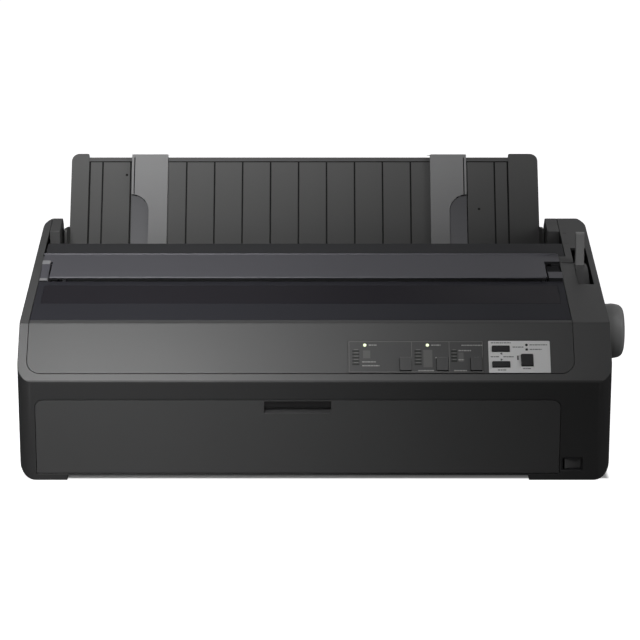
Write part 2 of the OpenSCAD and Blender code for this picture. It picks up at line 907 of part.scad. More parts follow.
module tension_unit() place() color([0.33, 0.33, 0.35]) {
    left = [bar_left, bar_left + tab_w];
    right = [bar_right - block_w, bar_right];
    difference() {
        union() {
            along_x(bar_left, bar_right) bar_section([bar_y, deck_y - cover_gap], 0, bar_t);
            along_x(left[1] + 2, right[0] - 1.5)
                polygon([
                    [deck_y - 8, bar_top(deck_y) - bar_t + 0.2],
                    [deck_y - 8, bar_top(deck_y) - bar_t - 8],
                    [deck_y - 6, bar_top(deck_y) - bar_t - 8],
                    [deck_y - 6, bar_top(deck_y) - bar_t + 0.2]
                ]);
        }
        block([left[0] - 1, left[1] + 2], [bar_y - 1, tab_y], [0, big]);
        block([right[0] - 1.5, right[1] + 1], [bar_y - 1, tab_y], [0, big]);
    }
    along_x(left[0], left[1]) polygon([
        [bar_y, bar_top(bar_y) - 6], [tab_y + 0.5, bar_top(tab_y) - 6],
        [tab_y + 0.5, bar_top(tab_y) + 1.5], [tab_y - 10, bar_top(tab_y - 10) + 1.5],
        [tab_y - 15, bar_top(tab_y - 15) - 1.5], [bar_y + 5, bar_top(bar_y + 5) - 3.2],
        [bar_y, bar_top(bar_y) - 3.8]
    ]);
    along_x(right[0], right[1]) polygon([
        [bar_y, bar_top(bar_y) - 7], [tab_y + 0.5, bar_top(tab_y) - 7],
        [tab_y + 0.5, bar_top(tab_y) - notch_drop],
        [bar_y + block_l, bar_top(bar_y + block_l) - notch_drop],
        [bar_y + block_l, bar_top(bar_y + block_l) - 1], [bar_y, bar_top(bar_y) - 1]
    ]);
    for (x = [[left_plate_x - 4, left_plate_x + cheek_t - 4],
              [right_plate_x - cheek_t + 5.2, right_plate_x + 5.2]])
        along_x(x[0], x[1]) polygon([
            [cheek_y[0], cheek_seat_z], [cheek_y[1], cheek_seat_z],
            [cheek_y[1], bar_top(cheek_y[1]) - bar_t + 0.2],
            [cheek_y[0] + 34, bar_top(cheek_y[0] + 34) - bar_t + 0.2],
            [cheek_y[0] + 34, bar_top(cheek_y[0]) - 5.8], [cheek_y[0], bar_top(cheek_y[0]) - 5.8]
        ]);
}

module rear_deck() place() color(deck_grey) {
    deck_x = [open_left + cover_gap, rear_open_right - cover_gap];
    deck_rear = 252.6;
    along_x(deck_x[0], deck_x[1]) polygon([
        [deck_y + cover_gap, roof(deck_y) - 3.5], [deck_rear, roof(deck_rear) - 3.5],
        [deck_rear, roof(deck_rear) - 0.5], [deck_y + cover_gap, roof(deck_y) - 0.5]
    ]);
    for (x = [left_plate_x, right_plate_x]) along_x(x - 4, x + 6) polygon([
        [deck_y + 12, rear_plate_z], [deck_rear, rear_plate_z],
        [deck_rear, roof(deck_rear) - 3.4], [deck_y + 12, roof(deck_y + 12) - 3.4]
    ]);
}

// ---- Sheet support ----

// The pillars stand outside the side plates and carry the walls' tops on above them
module support_brackets() place() color(case_grey) difference() {
    intersection() {
        case_form(0);
        union() {
            block(post_left, post_y, [rear_plate_z + slide_gap, big]);
            block([post_left[0], left_plate_x], post_leg_y, [post_low, rear_plate_z + 1]);
            block(post_right, post_y, [rear_plate_z + slide_gap, big]);
            block([right_plate_x + plate_t, post_right[1]], post_leg_y, [post_low, rear_plate_z + 1]);
        }
    }
    ear_corners();
    for (x = [post_left, post_right])
        rod_x(x[0] - 1, x[1] + 1, support_hinge, support_pin_r + run_gap);
}

module support_arm(x) along_x(x[0], x[1]) polygon(soften([
    [support_hinge[0] - 8.5, support_hinge[1] - 6, 5],
    [support_hinge[0] + 3, support_hinge[1] - 9, 3],
    concat(support_point(support_low + 2, -1), [0]),
    concat(support_point(arm_top, -1), [0]),
    concat(support_point(arm_top, 2), [0]),
    [support_hinge[0] - 8.5, support_hinge[1] + 25, 4]
]));

// A point in (y, z) that lies s up the support and h above its face
function support_point(s, h) = [
    support_y + s * cos(support_angle) - h * sin(support_angle),
    support_z + s * sin(support_angle) + h * cos(support_angle)
];

module sheet_support() place() color(case_grey) {
    left_in = support_left + left_column_w;
    right_in = support_right - right_column_w;
    difference() {
        on_support() {
            along_z(-support_t, 0) polygon(soften([
                [support_left, support_low, 2],
                [support_right, support_low, 2],
                [support_right, support_top - plate_drop, 6],
                [support_left, support_top - plate_drop, 6]
            ]));
            along_z(-support_t, column_rise) polygon(soften([
                [support_left, support_low, 2], [left_in, support_low, 0],
                [left_in, support_top, 2], [support_left, support_top, 9]
            ]));
            along_z(-support_t, column_rise) polygon(soften([
                [right_in, support_low, 0], [support_right, support_low, 2],
                [support_right, support_top, 9], [right_in, support_top, 2]
            ]));
        }
        on_support() {
            for (x = [middle_groove_x:groove_pitch:right_in - 5]) groove(x);
            for (x = [middle_groove_x - groove_pitch:-groove_pitch:left_in + 5]) groove(x);
            block([left_in, right_in], [support_top - plate_drop - support_lip - 1,
                support_top - plate_drop - support_lip], [-groove_depth, 1]);
            for (x = [left_in, right_in - column_groove_w])
                block([x, x + column_groove_w], [support_low + 10, support_top - plate_drop - support_lip],
                    [-groove_depth, 0.1]);
        }
    }
    support_arm([support_left - arm_t, support_left + 0.5]);
    support_arm([support_right - 0.5, support_right + arm_t]);
    rod_x(support_left - arm_t - 8, support_left - arm_t + 0.5, support_hinge, support_pin_r);
    rod_x(support_right + arm_t - 0.5, support_right + arm_t + 9, support_hinge, support_pin_r);
}

module groove(x) block(
    [x - groove_w / 2, x + groove_w / 2],
    [support_low + 10, support_top - plate_drop - support_lip],
    [-groove_depth, 1]
);

// An edge guide, with its stepped corner on the side that side points to
module edge_guide(x, side) place() on_support() translate([x, 0, 0]) {
    half = guide_w / 2;
    top = guide_low + guide_l;
    along_z(slide_gap, slide_gap + guide_base_t) polygon(soften(
        box_outline(-half, half, guide_low, top, 1)
    ));
    scale_x(side) difference() {
        along_z(slide_gap, slide_gap + guide_t) polygon(soften([
            [-half, guide_low, 1],
            [half - guide_step_w, guide_low, 0],
            [half - guide_step_w, guide_step_s, guide_step_w - 0.5],
            [half, guide_step_s, 0],
            [half, top, 1.5],
            [-half, top, 1.5]
        ], 10));
        block(
            [half - guide_line_x - guide_line_w, half - guide_line_x],
            [guide_step_s - 5, top - 4],
            [slide_gap + guide_t - groove_depth, guide_t + 1]
        );
    }
    block([-half + 2, half - 2], [support_top - plate_drop + slide_gap, top],
        [-support_t - slide_gap - guide_hook, slide_gap + 1]);
    block([-half + 2, half - 2], [support_top - plate_drop - 10, top],
        [-support_t - slide_gap - guide_hook, -support_t - slide_gap]);
}

module scale_x(side) {
    if (side > 0) children();
    else mirror([1, 0, 0]) children();
}

module left_edge_guide() color(guide_grey) edge_guide(guide_x[0], -1);
module right_edge_guide() color(guide_grey) edge_guide(guide_x[1], 1);

// ---- Frame, boards and motors ----

module base_frame() place() color(steel) difference() {
    block([left_plate_x + plate_t, right_plate_x], [44, plate_rear_y], [floor_top, floor_top + 1.5]);
    block([-125, 190], [60, 135], [0, floor_top + 5]);
    for (x = screw_x, y = screw_y) rod_z(x, y, 0, floor_top + 5, screw_post_r + slide_gap);
    for (x = screw_x) block(
        [x - 1 - slide_gap, x + 1 + slide_gap], [screw_y[1], case_d], [0, floor_top + 5]
    );
}

plate_outline_pts = [
    [plate_front_y, floor_top, 0],
    [plate_rear_y, floor_top, 0],
    [plate_rear_y, rear_plate_z, 4],
    [deck_y + 6, rear_plate_z, 0],
    [deck_y - 1, cheek_seat_z, 0],
    [bar_y + 4, cheek_seat_z, 0],
    [bar_y - 12, cartridge_seat_z - 14, 0],
    [cartridge_y, cartridge_seat_z - 14, 0],
    [cartridge_y, cartridge_seat_z, 0],
    [plate_front_y, cartridge_seat_z, 0]
];

module side_plate(x) difference() {
    along_x(x, x + plate_t) polygon(soften(plate_outline_pts));
    rod_x(x - 1, x + plate_t + 1, platen_axis, bush_r + fit_gap);
    rod_x(x - 1, x + plate_t + 1, rod_axis, rod_r + fit_gap);
    rod_x(x - 1, x + plate_t + 1, press_axis, press_shaft_r + run_gap);
    rod_x(x - 1, x + plate_t + 1, tractor_axis, hex_r + run_gap);
    rod_x(x - 1, x + plate_t + 1, tractor_rod_axis, tractor_rod_r + fit_gap);
}

module left_side_plate() place() color(steel) {
    side_plate(left_plate_x);
    block([left_plate_x + plate_t - 0.2, belt_left_x + 7], [belt_y - 7, belt_y + 7], [64, 66.2]);
    rod_z(belt_left_x, belt_y, 66, belt_z[1], 2);
}

module right_side_plate() place() color(steel) difference() {
    union() {
        side_plate(right_plate_x);
        rod_x(right_plate_x + plate_t - 0.2, gear_x + gear_w + 1, idler_axis, idler_stud_r);
        rod_x(right_plate_x + plate_t - 0.2, gear_x - slide_gap, idler_axis, idler_stud_r + 3);
        rod_x(right_plate_x - 7, right_plate_x + 0.2, thickness_axis, 3);
    }
    rod_x(right_plate_x - 1, right_plate_x + plate_t + 1, pinion_axis, motor_shaft_r + 2);
}

module main_board() place() color("darkgreen") {
    board = [[-130, 190], [142, case_d - 14]];
    block(board[0], board[1], [board_z, board_z + board_t]);
    for (x = [board[0][0] + 8, board[0][1] - 8], y = [board[1][0] + 8, board[1][1] - 12])
        rod_z(x, y, floor_top + 1.5, board_z + 0.1, 3);
    top = board_z + board_t;
    block([-90, -55], [180, 215], [top - 0.1, top + 3]);
    block([-30, 0], [170, 200], [top - 0.1, top + 3]);
    for (i = [0:3]) block([20 + i * 22, 34 + i * 22], [190, 226], [top - 0.1, top + 4]);
    for (i = [0:2]) rod_z(150 + i * 14, 170, top - 0.1, top + 16, 5);
    block([-110, -104], [240, 300], [top - 0.1, top + 8]);
}

module power_supply() place() color(steel) {
    psu = [[-268, -150], [222, 312], [floor_top + 1.5, 72]];
    difference() {
        block(psu[0], psu[1], psu[2]);
        for (i = [0:7]) block(
            [psu[0][0] + 14 + i * 12, psu[0][0] + 19 + i * 12],
            [psu[1][0] + 12, psu[1][1] - 12],
            [psu[2][1] - 1.5, psu[2][1] + 1]
        );
    }
}

module ac_inlet() place() color(dark_grey) difference() {
    union() {
        block([inlet_x - 14, inlet_x + 14], [case_d - 24, case_d], [inlet_z - 10.5, inlet_z + 10.5]);
        block([inlet_x - 18, inlet_x + 18], [case_d + 0.05, case_d + 2], [inlet_z - 13, inlet_z + 13]);
        block([inlet_x - 13.5, inlet_x + 13.5], [case_d - 4, case_d + 1], [inlet_z - 10, inlet_z + 10]);
    }
    block([inlet_x - 12, inlet_x + 12], [case_d - 16, case_d + 3], [inlet_z - 8, inlet_z + 8]);
}

module interface_ports() place() color(part_white) for (p = ports) difference() {
    block(
        [p[0] - p[1] / 2, p[0] + p[1] / 2],
        [case_d - 18, case_d + 3],
        [board_z + board_t, board_z + board_t + p[2]]
    );
    block(
        [p[0] - p[1] / 2 + 2, p[0] + p[1] / 2 - 2],
        [case_d - 6, case_d + 4],
        [board_z + board_t + 2, board_z + board_t + p[2] - 2]
    );
}

module rocker_hole() block(
    [rocker_x - rocker_w / 2 - 0.6, rocker_x + rocker_w / 2 + 0.6],
    [-1, wall + 1],
    [rocker_z - rocker_h / 2 - 0.6, rocker_z + rocker_h / 2 + 0.6]
);

module power_switch() place() color(rubber_black) difference() {
    union() {
        block(
            [rocker_x - rocker_w / 2 - 0.5, rocker_x + rocker_w / 2 + 0.5],
            [0.6, rocker_body_d],
            [rocker_z - rocker_h / 2 - 0.5, rocker_z + rocker_h / 2 + 0.5]
        );
        block(
            [rocker_x - rocker_w / 2 - 1.2, rocker_x + rocker_w / 2 + 1.2],
            [wall + 0.05, wall + 3],
            [rocker_z - rocker_h / 2 - 0.4, rocker_z + rocker_h / 2 + 2]
        );
    }
    block(
        [rocker_x - rocker_w / 2 + 0.8, rocker_x + rocker_w / 2 - 0.8],
        [-1, rocker_body_d - 8],
        [rocker_z - rocker_h / 2 + 0.8, rocker_z + rocker_h / 2 - 0.8]
    );
}

rocker_axis_y = 8;

module power_rocker() place() color([0.24, 0.24, 0.25])
    translate([rocker_x, rocker_axis_y, 0]) rotate([0, 0, rocker_tilt])
        along_z(rocker_z - rocker_h / 2 + 1.2, rocker_z + rocker_h / 2 - 1.2) polygon([
            [-rocker_w / 2 + 2, -6], [0, -4.6], [rocker_w / 2 - 2, -6],
            [rocker_w / 2 - 2.6, -1], [2, 3.5], [-2, 3.5], [-rocker_w / 2 + 2.6, -1]
        ]);

module carriage_rod() place() color(steel)
    rod_x(left_plate_x - 1.5, right_plate_x + plate_t + 1.5, rod_axis, rod_r);

module guide_rail() place() color(steel)
    along_x(left_plate_x + plate_t, right_plate_x) polygon([
        [rail_y, 78], [rail_y + 2, 78], [rail_y + 2, rail_top - 2], [rail_y + 8, rail_top - 2],
        [rail_y + 8, rail_top], [rail_y, rail_top]
    ]);

module platen_bushes() place() color(brass) for (side = [
    [left_plate_x, left_plate_x + plate_t, 1],
    [right_plate_x, right_plate_x + plate_t, 0]
]) difference() {
    union() {
        rod_x(side[0], side[1], platen_axis, bush_r);
        rod_x(
            side[2] == 1 ? side[1] : side[0] - bush_flange_t,
            side[2] == 1 ? side[1] + bush_flange_t : side[0],
            platen_axis, bush_flange_r
        );
    }
    rod_x(side[0] - 5, side[1] + 5, platen_axis, shaft_r + run_gap);
}

guide_sheet_t = 2;

module paper_guide() place() color(dark_grey) {
    along_x(left_plate_x + plate_t + 0.2, 196) polygon([
        [14, 46], [110, 56], [128, 60], [152, 74], [166, 77],
        [166, 77 - guide_sheet_t], [153, 74 - guide_sheet_t], [129, 60 - guide_sheet_t],
        [110, 56 - guide_sheet_t], [14, 46 - guide_sheet_t]
    ]);
    for (x = [-270, 190]) block([x, x + 6], [50, 56], [floor_top + 1.5, 48]);
    block([191, 196], [205, 210], [floor_top + 1.5, 91]);
    along_x(left_plate_x + plate_t + 0.2, 196) polygon([
        [190, 81], [204, 90], [224, 114], [238, 124],
        [238, 122], [225.5, 112.8], [205.5, 88.6], [191, 79.2]
    ]);
}

module feed_motor() place() color(steel) {
    rod_x(right_plate_x - motor_l, right_plate_x - 0.05, pinion_axis, motor_r);
}

module feed_pinion() place() color(brass) {
    gear(pinion_teeth, pinion_turn, pinion_axis, motor_shaft_r - 0.2);
    rod_x(right_plate_x, gear_x + gear_w + 0.5, pinion_axis, motor_shaft_r);
}

module carriage_motor() place() color(steel) {
    rod_z(belt_right_x, belt_y, 24, 60, motor_r);
    block([belt_right_x - 24, right_plate_x], [belt_y - 22, belt_y + 22], [60, 61.5]);
}

module belt_loop(grow) {
    translate([belt_left_x, belt_y]) circle(pulley_r + grow, $fn = fine);
    translate([belt_right_x, belt_y]) circle(pulley_r + grow, $fn = fine);
    translate([belt_left_x, belt_y - pulley_r - grow])
        square([belt_right_x - belt_left_x, 2 * (pulley_r + grow)]);
}

module drive_belt() place() color(rubber_black) along_z(belt_z[0], belt_z[1]) difference() {
    belt_loop(slide_gap + belt_t);
    belt_loop(slide_gap);
}

module pulley(x, low) {
    rod_z(x, belt_y, belt_z[0], belt_z[1], pulley_r);
    rod_z(x, belt_y, belt_z[1], belt_z[1] + 1.2, pulley_r + 1);
    rod_z(x, belt_y, low, belt_z[0] + 0.2, 3);
}

module drive_pulley() place() color(brass) pulley(belt_right_x, 62);
module idler_pulley() place() color(brass) difference() {
    pulley(belt_left_x, 66.5);
    rod_z(belt_left_x, belt_y, 60, belt_z[1] + 0.4, 2 + run_gap);
}

module tractor_rod() place() color(steel)
    rod_x(left_plate_x - 1.5, right_plate_x + plate_t + 1.5, tractor_rod_axis, tractor_rod_r);

// ---- Paper feed ----

module platen_roller() place() color(rubber_black) difference() {
    rod_x(platen_left, platen_right, platen_axis, platen_r);
    rod_x(platen_left - 1, platen_right + 1, platen_axis, shaft_r + fit_gap);
}

module platen_shaft() place() color(steel)
    rod_x(left_plate_x - 4, half_w + knob_gap + knob_l - 6, platen_axis, shaft_r);

module platen_gear() place() color(part_white) gear(platen_teeth, 0, platen_axis, shaft_r + fit_gap);

module platen_knob() place() color(case_grey)
    translate([half_w + knob_gap, platen_y, platen_z]) rotate([0, 90, 0]) difference() {
        rotate_extrude($fn = 96) polygon(soften([
            [0, 0, 0], [knob_r - 1.5, 0, 1], [knob_r, knob_l * 0.6, 20],
            [knob_r - 2.5, knob_l, knob_round], [0, knob_l, 0]
        ], 8));
        translate([0, 0, -1]) cylinder(h = knob_l - 5, r = shaft_r + fit_gap, $fn = fine);
    }

module pressure_rollers() place() color(rubber_black) {
    rod_x(left_plate_x - 1, right_plate_x + plate_t + 1, press_axis, press_shaft_r);
    for (i = [0:press_count - 1]) {
        x = (i - (press_count - 1) / 2) * press_pitch + mid([platen_left, platen_right]);
        rod_x(x - press_w / 2, x + press_w / 2, press_axis, press_r);
    }
}

module idler_gear() place() color(part_white)
    gear(idler_teeth, idler_turn, idler_axis, idler_stud_r + run_gap);

module hex_bar(x0, x1, r) along_x(x0, x1) translate(tractor_axis) circle(r, $fn = 6);

module tractor_shaft() place() color(steel) {
    hex_bar(left_plate_x - 2, gear_x + gear_w + 1, hex_r);
    gear(tractor_teeth, tractor_turn, tractor_axis, hex_r - 1);
}

module tractor(x) place() color(dark_grey) {
    half = tractor_w / 2;
    difference() {
        for (side = [[x - half, x - half + cheek_plate_t], [x + half - cheek_plate_t, x + half]])
            along_x(side[0], side[1]) polygon(soften([
                [tractor_axis[0] - 18, tractor_axis[1] - 19, 6],
                [tractor_axis[0] + 34, tractor_axis[1] - 19, 6],
                [tractor_axis[0] + 34, tractor_axis[1] + 12, 6],
                [tractor_axis[0] - 18, tractor_axis[1] + 12, 6]
            ]));
        rod_x(x - half - 1, x + half + 1, tractor_axis, hex_r + slide_gap);
        rod_x(x - half - 1, x + half + 1, tractor_rod_axis, tractor_rod_r + run_gap);
    }
    block(
        [x - half + cheek_plate_t - 0.2, x + half - cheek_plate_t + 0.2],
        [tractor_axis[0] - 8, tractor_axis[0] + 22],
        [tractor_axis[1] - 19, tractor_axis[1] - 17.4]
    );
}

module left_tractor() tractor(tractor_x[0]);
module right_tractor() tractor(tractor_x[1]);

module sprocket(x) place() color(part_white) difference() {
    union() {
        rod_x(x - sprocket_w / 2, x + sprocket_w / 2, tractor_axis, sprocket_r);
        for (i = [0:sprocket_pins - 1]) translate([x, tractor_axis[0], tractor_axis[1]])
            rotate([i * 360 / sprocket_pins, 0, 0]) translate([0, 0, sprocket_r - 3])
                cylinder(h = 3 + sprocket_pin_l, r = sprocket_pin_r, $fn = 24);
    }
    hex_bar(x - sprocket_w, x + sprocket_w, hex_r + slide_gap);
}

module left_sprocket() sprocket(tractor_x[0]);
module right_sprocket() sprocket(tractor_x[1]);

// ---- Carriage and ribbon ----

module carriage() place() color(dark_grey) difference() {
    strand = [belt_y - pulley_r - slide_gap - belt_t, belt_y - pulley_r - slide_gap];
    union() {
        along_x(home_x - carriage_w / 2, home_x + carriage_w / 2) polygon([
            [101, belt_z[1] + 2], [148, belt_z[1] + 2], [148, rail_top], [108, rail_top],
            [108, rail_top + 5], [93, rail_top + 5],
            [93, rail_top + slide_gap], [101, rail_top + slide_gap]
        ]);
        block(
            [home_x - clamp_w / 2, home_x + clamp_w / 2],
            [strand[0] - clamp_t, strand[1] + clamp_t],
            [belt_z[0] + 1, belt_z[1] + 6]
        );
    }
    rod_x(home_x - carriage_w, home_x + carriage_w, rod_axis, rod_r + run_gap);
    block(
        [home_x - carriage_w, home_x + carriage_w],
        [strand[0] - run_gap, strand[1] + run_gap],
        [belt_z[0], belt_z[1] + slide_gap]
    );
}

module print_head() place() color(steel) {
    low = rail_top + 0.05;
    block([home_x - 19, home_x + 19], [109, 146], [low, low + 6]);
    for (i = [0:6]) block(
        [home_x - 18 + i * 5.5, home_x - 15 + i * 5.5], [112, 144], [low + 5.9, 128]
    );
    block([home_x - 18, home_x + 18], [138, 146], [low + 5.9, 122]);
    block(
        [home_x - 5, home_x + 5],
        [145.9, platen_y - platen_r - head_gap - ribbon_t - 0.4],
        [platen_z - 7, platen_z + 7]
    );
}

module ribbon_cartridge() place() color(rubber_black) {
    face = platen_y - platen_r - head_gap;
    block([left_plate_x - 2, right_plate_x + 4], [64, 96], [cartridge_seat_z, 145]);
    for (x = [[-262, -240], [216, 238]])
        block(x, [95.9, face - ribbon_t - 0.2], [cartridge_seat_z - 24, 138]);
    block([-244, 220], [face - ribbon_t - 0.21, face], [platen_z - 7, platen_z + 7]);
}

ribbon_knob_x = -251;
ribbon_knob_y = 80;

module ribbon_knob() place() color(part_white) difference() {
    rod_z(ribbon_knob_x, ribbon_knob_y, 145 + slide_gap, 151, 11);
    for (i = [0:11]) translate([
        ribbon_knob_x + 11.6 * cos(i * 30), ribbon_knob_y + 11.6 * sin(i * 30), 140
    ]) cylinder(h = 20, r = 1.6, $fn = 24);
}

// ---- Levers ----

module release_lever() place() color([0.36, 0.36, 0.37]) {
    difference() {
        union() {
            rod_x(lever_x[0] + 1, lever_x[0] + 7, lever_axis, 8);
            along_x(lever_x[0] + 1, lever_x[0] + 7) translate(lever_axis) rotate(-lever_lean)
                polygon([[-6, 0], [6, 0], [5, shield_r - 1], [-5, shield_r - 1]]);
        }
        rod_x(lever_x[0] - 1, lever_x[1] + 1, lever_axis, 3 + run_gap);
    }
    along_x(slot_x[0] + 0.5, slot_x[1] - shield_side) translate(lever_axis) polygon([
        for (i = [0:14]) polar([0, 0], shield_r, 66 + i * 5.2),
        for (i = [14:-1:0]) polar([0, 0], shield_r - shield_t, 66 + i * 5.2)
    ]);
    along_x(lever_x[0], lever_x[1]) translate(lever_axis) rotate(-lever_lean)
        polygon(soften([
            [-5, shield_r - 1, 0], [5, shield_r - 1, 0],
            [3.4, lever_reach, 2.5], [-3.4, lever_reach, 2.5]
        ]));
}

module thickness_lever() place() color([0.36, 0.36, 0.37]) difference() {
    along_x(right_plate_x - 6, right_plate_x - slide_gap) translate(thickness_axis) {
        circle(7, $fn = fine);
        translate([-3.5, 0]) square([7, thickness_l]);
    }
    rod_x(right_plate_x - 8, right_plate_x + 1, thickness_axis, 3 + run_gap);
}

upper_case();
lower_case();
rubber_feet();
case_screws();
control_panel();
panel_overlay();
panel_label();
panel_board();
base_frame();
left_side_plate();
right_side_plate();
rear_deck();
support_brackets();
main_board();
power_supply();
ac_inlet();
interface_ports();
power_switch();
carriage_rod();
guide_rail();
platen_bushes();
paper_guide();
feed_motor();
carriage_motor();
drive_belt();
tractor_rod();
top_cover();
cover_window();
front_cover();
tension_unit();
sheet_support();
left_edge_guide();
right_edge_guide();
release_lever();
thickness_lever();
platen_roller();
platen_shaft();
platen_gear();
platen_knob();
pressure_rollers();
idler_gear();
feed_pinion();
tractor_shaft();
left_tractor();
right_tractor();
left_sprocket();
right_sprocket();
carriage();
print_head();
drive_pulley();
idler_pulley();
ribbon_cartridge();
ribbon_knob();
font_key();
pitch_key();
tear_off_key();
load_key();
feed_key();
pause_key();
power_rocker();
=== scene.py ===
import json
import math

import bmesh
import bpy
from mathutils import Matrix, Vector

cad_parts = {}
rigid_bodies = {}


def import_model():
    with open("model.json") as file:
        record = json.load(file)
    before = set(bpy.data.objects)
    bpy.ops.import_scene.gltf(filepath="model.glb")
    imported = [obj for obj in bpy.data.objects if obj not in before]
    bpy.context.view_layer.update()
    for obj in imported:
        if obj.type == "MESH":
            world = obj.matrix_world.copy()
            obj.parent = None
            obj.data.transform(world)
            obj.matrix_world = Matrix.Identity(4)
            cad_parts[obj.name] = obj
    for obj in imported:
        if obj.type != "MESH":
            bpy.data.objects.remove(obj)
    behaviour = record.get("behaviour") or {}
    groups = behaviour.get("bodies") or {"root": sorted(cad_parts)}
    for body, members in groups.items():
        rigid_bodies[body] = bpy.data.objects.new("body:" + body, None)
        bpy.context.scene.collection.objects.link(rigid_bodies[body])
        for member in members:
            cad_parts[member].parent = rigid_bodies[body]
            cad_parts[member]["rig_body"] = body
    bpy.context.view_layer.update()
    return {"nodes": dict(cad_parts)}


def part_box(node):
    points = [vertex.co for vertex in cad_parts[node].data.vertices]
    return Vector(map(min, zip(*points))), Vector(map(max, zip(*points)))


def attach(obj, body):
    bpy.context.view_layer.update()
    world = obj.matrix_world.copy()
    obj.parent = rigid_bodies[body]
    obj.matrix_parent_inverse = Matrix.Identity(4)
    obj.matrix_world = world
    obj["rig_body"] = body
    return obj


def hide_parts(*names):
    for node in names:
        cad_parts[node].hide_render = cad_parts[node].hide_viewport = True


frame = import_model()
nodes = frame["nodes"]
mm = 0.001

# the case gives the middle of the front face, from which pieces are placed
caseLow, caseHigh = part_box("upper_case")
middle = (caseLow.x + caseHigh.x) / 2
front = caseLow.y


# a place in millimetres from the middle of the front face, at the table
def fromFront(x, y, z):
    return Vector((middle + x * mm, front + y * mm, z * mm))


# three faces that carry print or marks, each from a point on it and its tilt in degrees
slope = {"y": 0, "height": 107, "angle": 48}
roof = {"y": 45, "height": 157, "angle": 8.7}
support = {"y": 332.6, "height": 159, "angle": 55.6}


def tilted(face):
    # x stays across the printer, y runs up the tilted face and z stands out of it, all in millimetres
    turned = Matrix.Rotation(math.radians(face["angle"]), 4, "X")
    return Matrix.Translation(fromFront(0, face["y"], face["height"])) @ turned @ Matrix.Scale(mm, 4)


def outOf(place):
    return (place.to_3x3() @ Vector((0, 0, 1))).normalized()


onPanel, onRoof, onSupport = tilted(slope), tilted(roof), tilted(support)


def newGroup(name, inputs, outputs):
    group = bpy.data.node_groups.new(name, "ShaderNodeTree")
    for label, default in inputs.items():
        kind = "NodeSocketColor" if isinstance(default, tuple) else "NodeSocketFloat"
        socket = group.interface.new_socket(label, in_out="INPUT", socket_type=kind)
        socket.default_value = default
    for label, kind in outputs.items():
        group.interface.new_socket(label, in_out="OUTPUT", socket_type=kind)
    return group, group.nodes.new("NodeGroupInput"), group.nodes.new("NodeGroupOutput")


def addNoise(tree, scale, detail=2.0, roughness=0.5):
    coords = tree.nodes.new("ShaderNodeTexCoord")
    noise = tree.nodes.new("ShaderNodeTexNoise")
    noise.inputs["Detail"].default_value = detail
    noise.inputs["Roughness"].default_value = roughness
    if isinstance(scale, (int, float)):
        noise.inputs["Scale"].default_value = scale
    else:
        tree.links.new(scale, noise.inputs["Scale"])
    tree.links.new(coords.outputs["Object"], noise.inputs["Vector"])
    return noise


def addMath(tree, operation, first, second):
    mathNode = tree.nodes.new("ShaderNodeMath")
    mathNode.operation = operation
    for socket, value in zip(mathNode.inputs, (first, second)):
        if isinstance(value, (int, float)):
            socket.default_value = value
        else:
            tree.links.new(value, socket)
    return mathNode.outputs[0]


# noise scales are per metre
grainLook = {"scale": 1400.0, "waviness": 0.3, "roughness": 0.6, "waveScale": 9.0}
handlingLook = {"amount": 0.1, "spread": 0.08, "patchScale": 14.0, "speckScale": 900.0}


def buildGrain():
    # the fine spark-eroded grain of moulded plastic, as a height for a Bump node
    inputs = {"Grain Scale": grainLook["scale"], "Waviness": grainLook["waviness"]}
    group, given, out = newGroup("mouldGrain", inputs, {"Height": "NodeSocketFloat"})
    fine = addNoise(group, given.outputs["Grain Scale"], 1.0, grainLook["roughness"])
    wave = addNoise(group, grainLook["waveScale"], 1.0)
    weighted = addMath(group, "MULTIPLY", wave.outputs["Fac"], given.outputs["Waviness"])
    group.links.new(addMath(group, "ADD", fine.outputs["Fac"], weighted), out.inputs["Height"])
    return group


def buildHandling():
    # large soft patches where dust and hands change colour and gloss a little
    inputs = {
        "Base": (0.1, 0.1, 0.1, 1.0), "Dust": (0.3, 0.3, 0.3, 1.0),
        "Amount": handlingLook["amount"], "Roughness": 0.5, "Spread": handlingLook["spread"],
    }
    group, given, out = newGroup("handling", inputs, {"Color": "NodeSocketColor", "Roughness": "NodeSocketFloat"})
    patch = addNoise(group, handlingLook["patchScale"], 4.0, 0.6)
    speck = addNoise(group, handlingLook["speckScale"], 2.0, 0.7)
    both = addMath(group, "MULTIPLY", patch.outputs["Fac"], speck.outputs["Fac"])
    mix = group.nodes.new("ShaderNodeMix")
    mix.data_type = "RGBA"
    group.links.new(addMath(group, "MULTIPLY", both, given.outputs["Amount"]), mix.inputs["Factor"])
    group.links.new(given.outputs["Base"], mix.inputs["A"])
    group.links.new(given.outputs["Dust"], mix.inputs["B"])
    group.links.new(mix.outputs["Result"], out.inputs["Color"])
    centred = addMath(group, "SUBTRACT", patch.outputs["Fac"], 0.5)
    spread = addMath(group, "MULTIPLY", centred, given.outputs["Spread"])
    group.links.new(addMath(group, "ADD", given.outputs["Roughness"], spread), out.inputs["Roughness"])
    return group


grainGroup = buildGrain()
handlingGroup = buildHandling()


def addPaintedShade(tree, color, low, high, least):
    # paints shade into a colour, darkening it downwards from the whole of it at the height high to least of it at
    # low
    coords = tree.nodes.new("ShaderNodeTexCoord")
    split = tree.nodes.new("ShaderNodeSeparateXYZ")
    tree.links.new(coords.outputs["Object"], split.inputs["Vector"])
    spread = tree.nodes.new("ShaderNodeMapRange")
    spread.inputs["From Min"].default_value = low
    spread.inputs["From Max"].default_value = high
    spread.inputs["To Min"].default_value = least
    tree.links.new(split.outputs["Z"], spread.inputs["Value"])
    scaled = tree.nodes.new("ShaderNodeVectorMath")
    scaled.operation = "SCALE"
    tree.links.new(color, scaled.inputs[0])
    tree.links.new(spread.outputs["Result"], scaled.inputs["Scale"])
    return scaled.outputs[0]


def dustOn(color):
    return [min(1, channel * 1.6 + 0.02) for channel in color]


